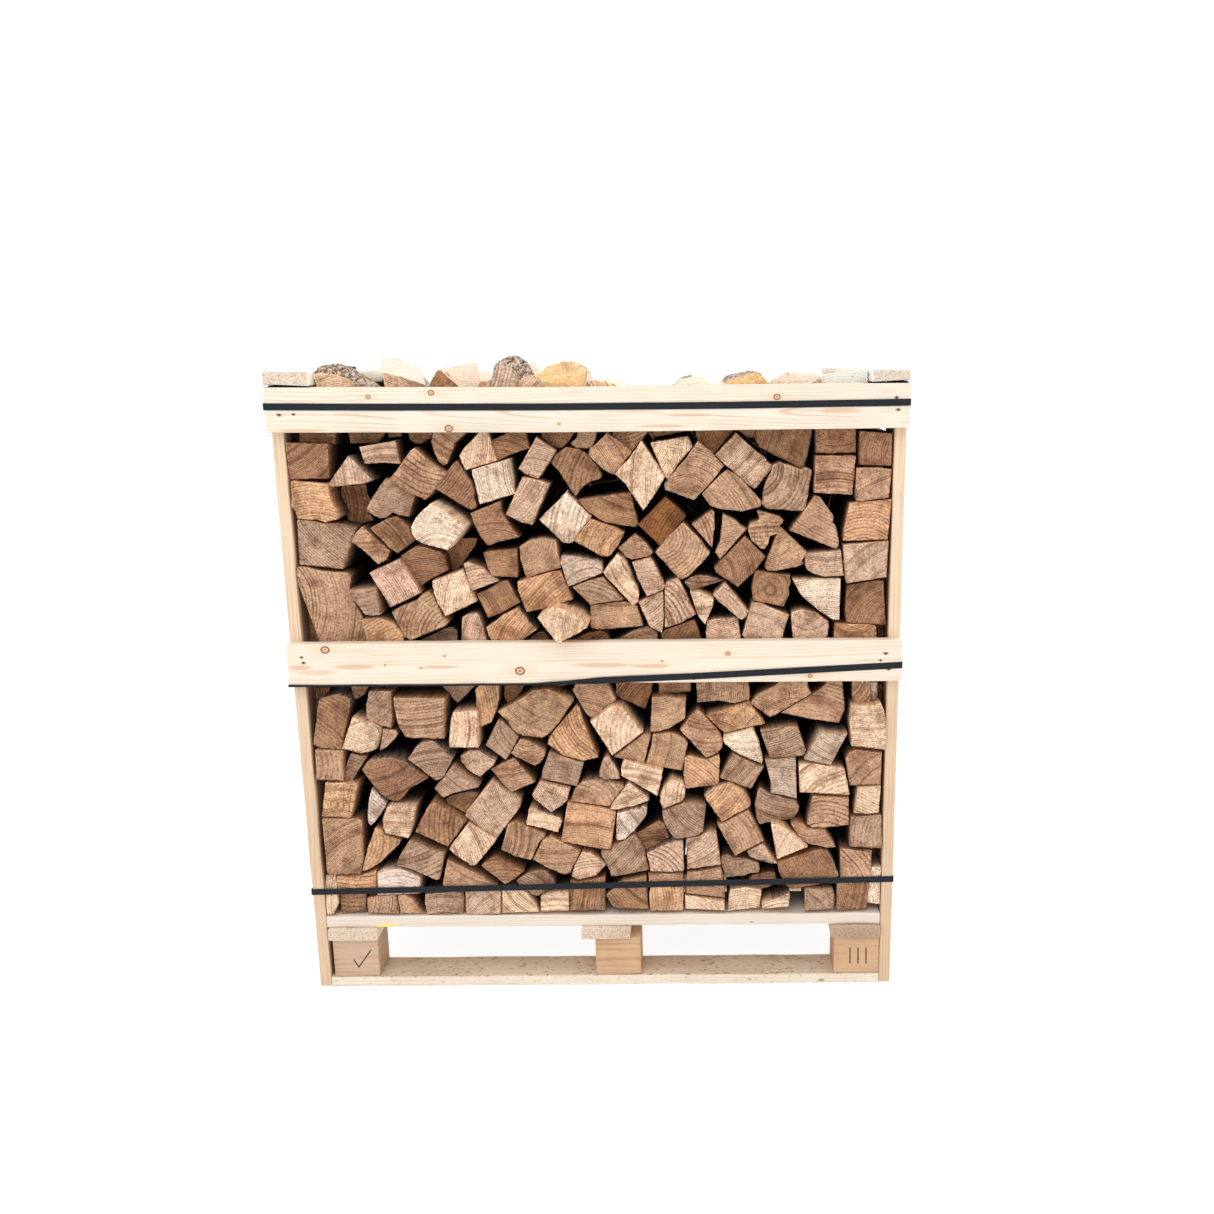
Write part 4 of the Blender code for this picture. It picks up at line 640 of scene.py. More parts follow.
def logPoints(logs, around, row, rng):
    # Every log is a surface of angle round it and distance along it: its outline, plus waves of fibre, worn in
    # at the rim, with both ends closed by rings that shrink to a centre point. Returned with the middles of the
    # outlines.
    count = len(logs)
    along = np.array(logShape["stations"])
    outline = np.stack([evenly(log["outline"], around) for log in logs])
    soft = logShape["cornerSoftness"]
    outline = (1 - 2 * soft) * outline + soft * (np.roll(outline, 1, 1) + np.roll(outline, -1, 1))
    middle = outline.mean(1, keepdims=True)
    spoke = outline - middle
    outward = spoke / np.hypot(spoke[..., 0], spoke[..., 1])[..., None]
    angle = np.arange(around) / around * 2 * np.pi * np.ones((count, 1))
    ragged = rng.uniform(*logShape["fibre"], (count, 1, 1))
    fibre = ragged * waves(rng, angle, along, logShape["fibreOrders"], 1.0)
    wander = waves(rng, angle, 3 * along, logShape["wanderOrders"], logShape["wander"]) * along[:, None]
    wear = np.where((along == 0) | (along == 1), logShape["rimWear"], 0)[:, None]
    sides = outline[:, None] + outward[:, None] * (fibre + wander - wear)[..., None]
    tilt = rng.normal(0, logShape["endTilt"], (count, 2))
    slope = (spoke * tilt[:, None]).sum(-1)
    slope = (slope - slope.min(1, keepdims=True))[:, None]
    near = np.array([row + log["setback"] for log in logs])[:, None, None]
    fade = (1 - along / logShape["tiltFade"]).clip(0, 1)[:, None]
    y = near + (row + logShape["length"] - near) * along[:, None] + slope * fade
    along = along[:, None, None]
    lean = np.array([heapLean.get(log["name"], (0.0, 0.0, 1.0)) for log in logs])[:, None, None]
    taper = 1 - (1 - lean[..., 2:]) * along
    sides = middle[:, None] + (sides - middle[:, None]) * taper + lean[..., :2] * along
    sides = np.stack([sides[..., 0], y, sides[..., 1]], -1)
    parts = [sides.reshape(count, -1, 3)]
    for end in (0, -1):
        rim = sides[:, end]
        centre = rim.mean(1, keepdims=True)
        for share in logShape["capRings"]:
            ring = centre + (rim - centre) * share
            ring[..., 1] += rng.normal(0, logShape["capRoughness"], (count, around))
            parts.append(ring)
        parts.append(centre)
    points = np.concatenate(parts, 1)
    left, right = np.array([log["reach"] for log in logs]).T[..., None]
    inside = logShape["insideBox"]
    points[..., 0] = points[..., 0].clip(left, right)
    points[..., 1] = points[..., 1].clip(cadLow[1] + inside, cadHigh[1])
    points[..., 2] = points[..., 2].clip(logShape["floor"], cadHigh[2] - inside)
    return points, middle


def logRow(name, logs, row, facing, finish, node, seed):
    # One mesh of logs with the attributes that their material reads. facing is 1 for logs whose seen end looks
    # to -Y and -1 for the mirror image of such a row.
    rng = np.random.default_rng(seed)
    around = logShape["around"][name]
    stations = len(logShape["stations"])
    points, middle = logPoints(logs, around, row, rng)
    count, perLog = points.shape[:2]
    depth = points[..., 1] - row
    points[..., 1] *= facing
    quads, triangles = tubeFaces(around, stations)
    quads, triangles = np.roll(quads, -1, 1)[:, ::facing], triangles[:, ::facing]
    offsets = np.arange(count)[:, None, None] * perLog
    faces = (quads + offsets).reshape(-1, 4).tolist() + (triangles + offsets).reshape(-1, 3).tolist()
    piece = pieceFromArrays(name + "_firewood", points.reshape(-1, 3), faces, finish, node)
    cut = np.tile(np.arange(len(quads)) >= (stations - 1) * around, count)
    addAttribute(piece, "cut", np.append(cut, np.ones(count * len(triangles))), "FACE")

    def each(key):
        # A value of the logs, given to all their points
        return np.array([log[key] for log in logs], float)[:, None] * np.ones(perLog)

    turn = np.radians([log["grain"] for log in logs])
    concentric = np.abs(turn) > np.radians(logShape["concentric"])
    distance = np.where(concentric, logShape["nearPith"], rng.uniform(*logShape["pithDistance"], count))
    side = rng.choice([-1.0, 1.0], count)
    pith = middle[:, 0] + np.stack([-np.sin(turn), np.cos(turn)], 1) * (distance * side)[:, None]
    tone = np.array([log["tone"] for log in logs])
    for spread, width in zip(logShape["toneSpread"], (1, 3)):
        tone = tone * rng.normal(1, spread, (count, width))
    fromMiddle = points[..., [0, 2]] - middle
    fromMiddle = fromMiddle / np.maximum(np.hypot(fromMiddle[..., 0], fromMiddle[..., 1]), 1e-6)[..., None]
    toBark = each("bark")
    barked = np.nan_to_num(fromMiddle[..., 0] * np.cos(toBark) + fromMiddle[..., 1] * np.sin(toBark), nan=-1)
    # Painted shade: the split sides turn black deeper into the gaps between the logs, but not where light falls in
    # from the sides and the top
    atSide = ramp(np.abs(points[..., 0]), *logShape["sideLight"]) * ramp(depth, *logShape["sideDepth"])
    outside = np.maximum(atSide, ramp(points[..., 2], *logShape["topLight"]))
    rim = np.zeros(perLog)
    outer, inner = logShape["capRings"]
    firstCap = stations * around
    outerShare = (outer - inner) / (1 - inner)
    for start, value in (
        (0, 1), (firstCap - around, 1), (firstCap, outerShare), (firstCap + 2 * around + 1, outerShare)
    ):
        rim[start:start + around] = value
    attributes = {
        "grain": np.concatenate([points[..., [0, 2]] - pith[:, None], points[..., 1:2]], -1),
        "tone": np.append(tone, np.ones((count, 1)), 1)[:, None] * np.ones((perLog, 1)),
        "bark": np.maximum(ramp(barked, *logShape["barkReach"]), each("flaky")),
        "shade": ramp(depth, *logShape["paintedGapShade"]) ** logShape["paintedGapShadeFall"] * (1 - outside),
        # lit: how far the rim faces the light, for the painted highlights and painted shade on the ends' edges
        "lit": (fromMiddle * logShape["lightFrom"]).sum(-1).clip(0, 1),
        "rim": np.tile(rim, (count, 1)),
        "chance": rng.uniform(0, 1, (count, 1, 3)) * np.ones((perLog, 1)),
    }
    for key in ("flaky", "plain", "freshAndLit"):
        attributes[key] = each(key)
    for key, values in attributes.items():
        addAttribute(piece, key, values)
    print(piece.name, len(faces), "faces")


logLook = {
    "ringSpacing": (0.0030, 0.0062),
    "ringStrength": (0.60, 0.40),
    "contrast": 1.3,
    "brightest": (1.22, 1.22, 1.22),
    "sideDarkness": 0.97,
    "shadeColour": (0.0015, 0.001, 0.001),
    "crackColour": (0.045, 0.026, 0.016),
    "fringeColour": (0.075, 0.042, 0.026),
    "barkColours": ((0.055, 0.035, 0.025), (0.27, 0.165, 0.105), (0.66, 0.53, 0.44)),
    "splitTint": (1.02, 0.93, 0.84),
    "freshAndLitColour": (0.86, 0.77, 0.64),
    "roughness": 0.82,
    "tints": {
        "ring": (0.32, 0.235, 0.18), "stain": (0.57, 0.47, 0.40), "pale": (1.30, 1.31, 1.32),
        "fuzz": (0.50, 0.41, 0.35), "scratch": (1.30, 1.30, 1.29), "fine": (1.36, 1.37, 1.38),
        "speck": (0.30, 0.22, 0.17), "gritDark": (0.60, 0.49, 0.42), "gritPale": (1.28, 1.27, 1.26),
        "fringe": (0.95, 0.85, 0.74), "rimDarkAndShade": (0.34, 0.235, 0.17), "rimPaintedHighlight": (1.5, 1.47, 1.42),
        "fibre": (0.52, 0.42, 0.33), "coarse": (0.5, 0.40, 0.32),
    },
}


def firewoodFinish():
    # Sawn ends with growth rings as lines of pores, stains, saw scratches, fuzz and cracks, split sides with
    # fibres along the log, and flaking bark
    ash = Finish("split_ash", "log_wood")
    noise, step, tints = ash.noise, ash.step, logLook["tints"]
    grain = ash.split(ash.attribute("grain", "Vector"))
    chance = ash.split(ash.attribute("chance", "Vector"))
    tone = ash.attribute("tone", "Color")
    cut, bark, flaky, plain, freshAndLit, shade, rim, lit = (
        ash.attribute(name) for name in ("cut", "bark", "flaky", "plain", "freshAndLit", "shade", "rim", "lit")
    )
    seed = chance[0] * 37.0
    flat = ash.join(grain[0], grain[1], seed)
    other = ash.join(grain[0], grain[1], seed + 9.0)

    # Growth rings round the pith, each year's line of another strength
    bend = noise(flat, detail=2, scale=24) - 0.5
    ripple = noise(flat, detail=2, scale=140) - 0.5
    radius = ash.hypot(grain[0], grain[1]) + bend * 0.007 + ripple * 0.0008
    spacing, spread = logLook["ringSpacing"]
    count = radius / (spacing + chance[1] * chance[1] * spread)
    year = ash.math("FLOOR", count)
    yearChance = ash.node("ShaderNodeTexWhiteNoise", {"noise_dimensions": "1D"}, {"W": year + seed})
    pores = noise(flat, detail=2, rough=0.7, scale=420)
    line = 1 - step(abs(count - year - 0.5), 0.05, 0.28)
    line = line * (0.25 + 0.75 * yearChance) * (0.6 + 0.4 * step(pores, 0.30, 0.60))
    low, high = logLook["ringStrength"]
    patch = noise(flat, detail=3, scale=38)
    ringDark = line * (low + chance[2] * high) * (0.25 + 0.75 * step(patch, 0.30, 0.55))

    # Stains, saw scratches, torn fibres and grit, each darkening or lightening what is below it
    zones = noise(ash.join(radius * 95.0, seed, 0.0), detail=3, rough=0.6)
    blotch = noise(flat, detail=4, rough=0.62, scale=26)
    paleness = noise(other, detail=3, scale=34)
    sawX = ash.math("COSINE", chance[1] * 6.2832)
    sawY = ash.math("SINE", chance[1] * 6.2832)
    across = grain[0] * sawX + grain[1] * sawY
    down = grain[1] * sawX - grain[0] * sawY
    scratch = noise(ash.join(across * 650.0, down * 40.0, seed), detail=3, rough=0.6)
    fuzz = noise(flat, detail=5, rough=0.8, scale=270)
    fine = noise(flat, detail=2, rough=0.6, scale=700)
    speck = noise(other, detail=3, rough=0.7, scale=300)
    grit = noise(other, detail=3, rough=0.75, scale=205)
    gritShare = 0.35 + 0.45 * chance[2]
    turn = ash.math("ARCTAN2", grain[1], grain[0])
    cracks = noise(ash.join(turn * 18.0, radius * 4.0, seed + 5.0), detail=2, rough=0.6)
    crackHere = step(noise(flat, detail=1, scale=16) + chance[2] * 0.3, 0.84, 0.92)
    crack = (1 - step(abs(cracks - 0.5), 0.0, 0.007)) * crackHere
    colour = tone
    for mask, key in (
        (step(zones, 0.50, 0.66) * (0.35 + 0.6 * chance[0]), "stain"),
        (ringDark, "ring"),
        (step(blotch, 0.46, 0.72) * 0.85, "stain"),
        (step(paleness, 0.46, 0.68) * 0.75, "pale"),
        (0.7 - 0.7 * step(fuzz, 0.36, 0.54), "fuzz"),
        (step(scratch, 0.50, 0.70) * 0.5, "scratch"),
        (step(fine, 0.52, 0.66) * 0.6, "fine"),
        ((1 - step(speck, 0.30, 0.37)) * 0.75, "speck"),
    ):
        colour = ash.tint(mask, colour, tints[key])
    colour = ash.mix(crack * 0.7, colour, logLook["crackColour"])
    colour = ash.tint((1 - step(grit, 0.36, 0.47)) * gritShare, colour, tints["gritDark"])
    colour = ash.tint(step(grit, 0.54, 0.64) * gritShare, colour, tints["gritPale"])
    ratio = ash.mix(1.0, ash.mix(1.0, colour, tone, "DIVIDE"), logLook["brightest"], "DARKEN")
    gamma = ash.node("ShaderNodeGamma", {}, {"Color": ratio, "Gamma": logLook["contrast"]})
    colour = ash.times(tone, gamma)

    # The rim: a dark fringe on some logs, a little more often on the side away from the light and so partly painted
    # shade; edges darkened at random and more on the side away from the light, partly painted shade; and painted
    # highlights on the edges that face the light
    edge = step(rim, 0.875, 0.953)
    ragged = rim + (patch - 0.5) * 1.6 + (fuzz - 0.5) * 0.8 - lit * 0.15
    fringe = step(ragged, 0.90, 1.00) * step(chance[0], 0.35, 0.55)
    fringeColour = ash.mix(step(fuzz, 0.44, 0.56), logLook["fringeColour"], ash.times(tone, tints["fringe"]))
    colour = ash.mix(fringe * 0.75, colour, fringeColour)
    rimDarkAndShade = edge * (1 - step(fuzz + lit * 0.25, 0.40, 0.60))
    rimPaintedHighlight = edge * step(lit + (fuzz - 0.5) * 1.6 + (chance[0] - 0.5) * 1.2, 0.45, 0.85)
    colour = ash.tint(rimDarkAndShade * 0.8, colour, tints["rimDarkAndShade"])
    endColour = ash.tint(rimPaintedHighlight * 0.7, colour, tints["rimPaintedHighlight"])

    # Split sides and bark, with painted black shade in the depth of the gaps
    fibres = noise(ash.join(grain[0] * 330.0, grain[1] * 330.0, grain[2] * 10.0 + seed), detail=4, rough=0.65)
    coarse = noise(ash.join(grain[0] * 60.0, grain[1] * 60.0, grain[2] * 5.0 + seed), detail=2)
    flakes = ash.join(grain[0] * 150.0, grain[1] * 150.0, grain[2] * 34.0 + seed)
    furrow = noise(flakes, detail=5, rough=0.68, warp=0.8)
    # Pale split sides and bark are partly newly split wood and partly painted light on the heap's lit logs
    worn = 1 - freshAndLit * 0.8
    split = ash.mix(freshAndLit * 0.85, ash.times(tone, logLook["splitTint"]), logLook["freshAndLitColour"])
    split = ash.tint((1 - step(fibres, 0.30, 0.60)) * worn, split, tints["fibre"])
    split = ash.tint(step(coarse, 0.5, 0.75) * 0.5 * worn, split, tints["coarse"])
    barkDark, barkBrown, barkPale = logLook["barkColours"]
    barkColour = ash.mix(step(furrow, 0.36, 0.46), barkDark, barkBrown)
    barkColour = ash.mix(step(furrow, 0.47, 0.56) * (0.3 + 0.7 * freshAndLit), barkColour, barkPale)
    barkColour = ash.mix(step(fibres, 0.5, 0.75) * 0.4, barkColour, barkBrown)
    barked = step(bark + (furrow - 0.5) * 0.6, 0.35, 0.6)
    sideColour = ash.mix(barked, split, barkColour)
    sideColour = ash.mix(shade * logLook["sideDarkness"], sideColour, logLook["shadeColour"])
    barkEdge = edge * step(bark, 0.3, 0.6)
    endColour = ash.mix(ash.math("MAXIMUM", barkEdge * 0.85, flaky), endColour, barkColour)
    colour = ash.mix(plain * cut, ash.mix(cut, sideColour, endColour), tone)
    endHeight = fuzz * 0.9 + scratch * 0.5 - line * 0.4 - crack * 2.0
    sideHeight = fibres * 1.6 + coarse * 1.5 + barked * furrow * 5.0
    height = cut * endHeight + (1 - cut) * sideHeight
    ash.dress(Base_Color=colour, Roughness=logLook["roughness"], Normal=ash.bump(height, 0.0016, 0.9))
    return ash


boardShape = {
    "step": 0.012,
    "stepStretch": 1.2,
    "edge": 0.0016,
    "edgeRing": 0.3,
    "capRings": (0.8, 0.5),
    "edgeWear": 0.0009,
    "wearOrders": (1, 2, 5),
    "wearRun": 25,
    "sawMarks": 0.00018,
    "sawOrders": (3, 7, 12),
    "sawRun": 40,
    "pithSpread": 0.3,
    "pithDistance": (0.018, 0.05),
    "tilt": 0.012,
}
# Dents in the boards: the middle of each in photo pixels on the front of the crate, its reach and its depth
dents = (
    ("front_left_block", (379, 949), 0.010, 0.006),
    ("front_bottom_board", (822, 956), 0.016, 0.004),
    ("front_left_block", (384, 934), 0.006, 0.003),
    ("front_right_post", (884, 985), 0.012, 0.005),
    ("front_left_post", (322, 962), 0.007, 0.002),
)
# How far a rail hangs below its ends, where along X it is lowest and how far the sag reaches
railSags = {"front_top_rail": (0.0032, -0.05, 0.34)}
# How much higher a cap board's outer lower edge stands
capSkews = {"left_cap_board": -0.004, "right_cap_board": 0.004}


def roundedProfile(width, height, edge, step):
    # A rectangle with quarter-circle corners, counter-clockwise, its sides cut into even steps
    half = np.array([width, height]) / 2 - edge
    arcs = []
    for corner, signs in enumerate(((1, 1), (-1, 1), (-1, -1), (1, -1))):
        angle = np.radians([0, 30, 60, 90]) + corner * np.pi / 2
        arcs.append(half * signs + edge * np.stack([np.cos(angle), np.sin(angle)], 1))
    parts = []
    for arc, following, side in zip(arcs, arcs[1:] + arcs[:1], (height, width, height, width)):
        count = max(1, round((side - 2 * edge) / step))
        share = (np.arange(1, count) / count)[:, None]
        parts += [arc, arc[-1] + (following[0] - arc[-1]) * share]
    return np.concatenate(parts)


def bent(points, node, low, high, axis):
    # The dents, the sag and the skew of one board
    middle = (low + high) / 2
    for owner, spot, reach, depth in dents:
        if owner == node:
            atX, atZ = onPlane(spot, low[1])
            away = np.linalg.norm(points - (atX, low[1], atZ), axis=1)
            toMiddle = middle - points
            toMiddle[:, axis] = 0
            pull = (1 - away / reach).clip(0, 1) * depth / np.linalg.norm(toMiddle, axis=1).clip(1e-6)
            points = points + pull[:, None] * toMiddle
    drop, lowest, reach = railSags.get(node, (0, 0, 1))
    sag = drop * np.exp(-((points[:, 0] - lowest) / reach) ** 2)
    skew = capSkews.get(node, 0)
    share = (points[:, 0] - low[0] if skew > 0 else high[0] - points[:, 0]) / (high - low)[0]
    z = points[:, 2] - sag
    z = z + abs(skew) * share * (high[2] - z) / (high - low)[2]
    return np.stack([points[:, 0], points[:, 1], z], 1)


def sawnBoard(node, finish, seed):
    # A rounded rectangle carried along the board's length, drawn in at both ends, with faint saw waves that
    # only ever go inwards, and corners that are worn by an uneven amount
    rng = np.random.default_rng(seed)
    low, high = (np.array(corner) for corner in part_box(node))
    size = high - low
    axis = int(size.argmax())
    u, v = [k for k in range(3) if k != axis]
    edge, step = boardShape["edge"], boardShape["step"]
    profile = roundedProfile(size[u], size[v], edge, step)
    around = len(profile)
    count = max(6, round(size[axis] / step / boardShape["stepStretch"]))
    margins = np.array([0, boardShape["edgeRing"] * edge, edge])
    run = np.concatenate([margins, np.linspace(edge, size[axis] - edge, count)[1:-1], size[axis] - margins[::-1]])
    inset = np.zeros(len(run))
    inset[[0, -1]], inset[[1, -2]] = margins[2], margins[1]
    half = size[[u, v]] / 2
    cornerReach = 4 * edge / half.min()
    cornered = ramp((np.abs(profile) / half).min(1), 1 - cornerReach, cornerReach)
    angle = np.linspace(0, 2 * np.pi, around, endpoint=False)[None]
    saw = waves(rng, angle, run * boardShape["sawRun"], boardShape["sawOrders"], boardShape["sawMarks"])[0]
    worn = waves(rng, angle, run * boardShape["wearRun"], boardShape["wearOrders"], boardShape["edgeWear"])[0]
    inwards = inset[:, None] + np.abs(saw) + np.abs(worn) * cornered
    points = np.zeros((len(run), around, 3))
    points[..., [u, v]] = profile * (1 - inwards[..., None] / half)
    points[..., axis] = (run - size[axis] / 2)[:, None]
    parts = [points.reshape(-1, 3)]
    lengthwise = np.arange(3) == axis
    for end in (0, -1):
        rim = points[end]
        parts += [rim * np.where(lengthwise, 1, share) for share in boardShape["capRings"]]
        parts.append(rim[:1] * lengthwise)
    flat = bent(np.concatenate(parts) + (low + high) / 2, node, low, high, axis)
    quads, triangles = tubeFaces(around, len(run))
    if axis == 1:
        quads, triangles = quads[:, ::-1], triangles[:, ::-1]
    piece = pieceFromArrays(node + "_sawn", flat, quads.tolist() + triangles.tolist(), finish, node, 50.0)
    cut = np.append(np.arange(len(quads)) >= (len(run) - 1) * around, np.ones(len(triangles)))
    addAttribute(piece, "cut", cut, "FACE")
    local = flat - (low + high) / 2
    wide = 0 if size[u] >= size[v] else 1
    pith = rng.uniform(-boardShape["pithSpread"], boardShape["pithSpread"], 2) * half
    pith[1 - wide] = rng.choice([-1, 1]) * rng.uniform(*boardShape["pithDistance"])
    tilt = rng.normal(0, boardShape["tilt"], 2)
    across = local[:, [u, v]] - pith - tilt * local[:, [axis]]
    addAttribute(piece, "grain", np.append(across, local[:, [axis]] + rng.uniform(0, 10), 1))


sawnLook = {
    "halo": (232, 192, 156), "knot": (222, 172, 136), "knotRim": (112, 66, 44), "heart": (120, 74, 50),
    "stain": (112, 80, 62), "crumbs": (110, 74, 52),
    "shade": (0.20, 0.12, 0.075), "low": (0.86, 0.79, 0.73), "slit": (0.004, 0.003, 0.002),
    "grime": (0.72, 0.62, 0.52), "endTint": (0.80, 0.68, 0.55), "endRing": 0.0042,
    "endRings": (0.80, 0.68, 0.60), "endDark": (0.72, 0.62, 0.56), "endPale": (1.2, 1.2, 1.2),
}


def sawnFinish(name, slot, look):
    # Sawn softwood: growth rings round a pith that the board was cut beside, so that they run as long lines
    # and arches on its faces and as arcs on its ends; streaks, saw marks, knots, marks, grime and darker top faces
    wood = Finish(name, slot)
    noise, step = wood.noise, wood.step
    grain = wood.split(wood.attribute("grain", "Vector"))
    place = wood.place()
    x, y, z = wood.split(place)
    slow = noise(wood.stretch(grain, 12.0, 12.0, 2.2), detail=2) - 0.5
    radius = wood.hypot(grain[0], grain[1]) + slow * 0.012
    rings = wood.math("SINE", radius * (2 * math.pi / look["ring"]))
    late = step(rings, look.get("late", 0.3), 1.0)
    streak = noise(wood.stretch(grain, 240.0, 240.0, 7.0), detail=3, rough=0.6)
    fleck = noise(wood.stretch(grain, 700.0, 700.0, 45.0), detail=2)
    patch = noise(place, detail=3, scale=look.get("patchScale", 7.0))
    pale, ringTint, streakTint = (linear(look[key]) for key in ("pale", "ringTint", "streakTint"))
    colour = wood.mix(late * step(patch, 0.25, 0.65) * look["strength"], pale, ringTint)
    colour = wood.mix(step(streak, 0.5, 0.8) * look["streaks"], colour, streakTint)
    colour = wood.mix(step(fleck, 0.55, 0.8) * 0.18, colour, streakTint)
    height = late * 0.25 + streak * 0.6 + fleck * 0.3

    for knotX, knotZ, size in look.get("knots", ()):
        dx = (x - knotX) / size
        dz = (z - knotZ) / (size * 0.85)
        away = wood.hypot(dx, dz) + (patch - 0.5) * 0.5 + (fleck - 0.5) * 0.25
        far = wood.math("SQRT", dx * dx * 0.07 + dz * dz * 0.45)
        body = 1 - step(away, 0.95, 1.15)
        for mask, key in (
            ((1 - step(far, 0.5, 1.4)) * 0.35, "halo"),
            (body * 0.8, "knot"),
            (body * step(away, 0.62, 0.78) * 0.9, "knotRim"),
            ((1 - step(away, 0.12, 0.30)) * 0.8, "heart"),
        ):
            colour = wood.mix(mask, colour, linear(sawnLook[key]))
    for stainX, stainZ, size in look.get("stains", ()):
        away = wood.hypot((x - stainX) / (size * 1.7), (z - stainZ) / size) + (streak - 0.5) * 1.2
        colour = wood.mix((1 - step(away, 0.3, 1.1)) * 0.8, colour, linear(sawnLook["stain"]))
    for blotX, blotZ, reachX, reachZ in look.get("blots", ()):
        away = wood.hypot((x - blotX) / reachX, (z - blotZ) / reachZ) + (streak - 0.5) * 0.8 + (patch - 0.5) * 0.8
        mask = (1 - step(away, 0.5, 1.1)) * look["blotShare"] * (1 - step(y, -0.3995, -0.396))
        colour = wood.mix(mask, colour, linear(look["blotTint"]))
    for (x0, z0), (x1, z1) in look.get("strokes", ()):
        # The distance from a stroke, from its nearest point
        halfWidth = look["strokeHalfWidth"]
        runX, runZ = x1 - x0, z1 - z0
        share = ((x - x0) * runX + (z - z0) * runZ) / (runX * runX + runZ * runZ)
        share = wood.math("MINIMUM", wood.math("MAXIMUM", share, 0.0), 1.0)
        away = wood.hypot(x - x0 - share * runX, z - z0 - share * runZ) + (fleck - 0.5) * halfWidth * 0.8
        mask = (1 - step(away, halfWidth * 0.7, halfWidth * 1.2)) * look["strokeShare"]
        colour = wood.mix(mask * (1 - step(y, -0.3999, -0.398)), colour, linear(look["strokeTint"]))
    if "darkerTop" in look:
        # The top faces are darker, with crumbs on them
        top = step(z, 0.0195, 0.0215) * (1 - step(z, 0.03, 0.04))
        crumbs = noise(wood.stretch((x, y, z), 90.0, 160.0, 160.0), detail=4, rough=0.7)
        colour = wood.mix(top * 0.55, colour, linear(look["darkerTop"]))
        colour = wood.mix(step(crumbs, 0.56, 0.66) * (top * 0.5 + 0.35), colour, linear(sawnLook["crumbs"]))
    if "inner" in look:
        # The faces of the posts towards the logs are in their shade, deeper in than a narrow edge
        deep = (1 - step(abs(x), 0.5385, 0.5400)) * (1 - step(abs(y), 0.383, 0.398))
        colour = wood.tint(deep * look["inner"], colour, sawnLook["shade"])
        # All faces of the posts grow darker towards the bottom
        colour = wood.tint((1 - step(z, 0.25, 0.80)) * 0.75, colour, sawnLook["low"])
    if "slit" in look:
        # Nothing lights the slits between the cap boards and what they lie on, so their shade is painted near-black
        opening = 1.1609 + (abs(x) - 0.479) * 0.05
        slit = step(z, 1.1588, 1.1596) * (1 - step(z - opening, 0.0, 0.0008))
        slit = slit * step(abs(x), 0.474, 0.480) * step(abs(y), 0.36, 0.38)
        colour = wood.mix(slit * 0.95, colour, sawnLook["slit"])
    colour = wood.tint(step(patch, 0.45, 0.8) * look["grime"], colour, sawnLook["grime"])

    speckle = noise(place, detail=4, rough=0.75, scale=260.0)
    endRings = wood.math("SINE", radius * (2 * math.pi / sawnLook["endRing"])) + (speckle - 0.5) * 2.0
    endColour = wood.times(colour, look.get("endTint", sawnLook["endTint"]))
    for mask, key in (
        (step(endRings, 0.2, 1.0) * 0.45, "endRings"),
        (1 - step(speckle, 0.38, 0.52), "endDark"),
        (step(speckle, 0.54, 0.64) * 0.7, "endPale"),
    ):
        endColour = wood.tint(mask, endColour, sawnLook[key])
    colour = wood.mix(wood.attribute("cut"), colour, endColour)
    wood.dress(Base_Color=colour, Roughness=look.get("roughness", 0.7), Normal=wood.bump(height, 0.0008, 0.6))
    return wood


# Knots, smears of heartwood, stains and strokes: the middle of each in photo pixels and its size in millimetres
railNails = {
    "top": ((279, 415, 4), (293.4, 414.4, 3), (896.7, 397.4, 4), (898.3, 409.5, 4)),
    "middle": (
        (301.5, 657.5, 3), (303.5, 663, 3.5), (885.8, 653.5, 3.5), (880.5, 660.3, 3), (888.7, 669.3, 3.5)
    ),
}
smear = {"blotTint": (220, 174, 140), "blotShare": 0.72}
railBase = {"late": 0.72, "strength": 1.0, "streaks": 0.6, "grime": 0.05}
railLook = railBase | {
    "pale": (233, 224, 206), "ringTint": (222, 188, 158), "streakTint": (216, 184, 156), "ring": 0.0040, "slit": True,
}
topRailLook = railLook | smear | {
    "blots": placedOn(railFace, (838, 410.5, 50, 6), (690, 415, 44, 3), (664, 426, 50, 3), (300, 431, 50, 4)),
    "knots": placedOn(
        railFace, (368, 396.8, 4.5), (431, 392.7, 5.5), (448.8, 428.5, 7), (777, 396.9, 6), (559, 424, 2.5)
    ),
    "stains": placedOn(railFace, *railNails["top"]),
}
middleRailLook = railBase | smear | {
    "pale": (238, 225, 206), "ringTint": (228, 190, 160), "streakTint": (220, 184, 154), "ring": 0.0042,
    "blots": placedOn(
        railFace, (356, 667, 44, 6), (300, 668, 24, 6), (440, 667, 40, 4), (600, 665, 70, 6), (650, 666, 40, 5)
    ),
    "knots": placedOn(
        railFace, (325, 650, 8), (520, 671, 8.5), (728, 653.6, 4.5), (810, 676, 4.5), (385, 665, 2.2),
        (421, 668, 2.5), (444.5, 656, 2.2), (662, 661, 2.2), (694, 679, 2.2)
    ),
    "stains": placedOn(railFace, *railNails["middle"]),
}
postLook = {
    "pale": (230, 204, 174), "ringTint": (212, 174, 138), "streakTint": (204, 164, 128),
    "ring": 0.0048, "strength": 0.7, "streaks": 0.6, "grime": 0.3, "patchScale": 5.0, "inner": 0.8, "slit": True,
}
deckLook = {
    "pale": (228, 215, 200), "ringTint": (216, 190, 164), "streakTint": (210, 180, 152),
    "ring": 0.0055, "strength": 0.6, "streaks": 0.4, "grime": 0.12,
    "blots": placedOn(postFace, (386, 925.5, 26, 4.5)), "blotTint": (246, 222, 96), "blotShare": 0.8,
    "stains": placedOn(postFace, (751.5, 922, 2.2)),
}
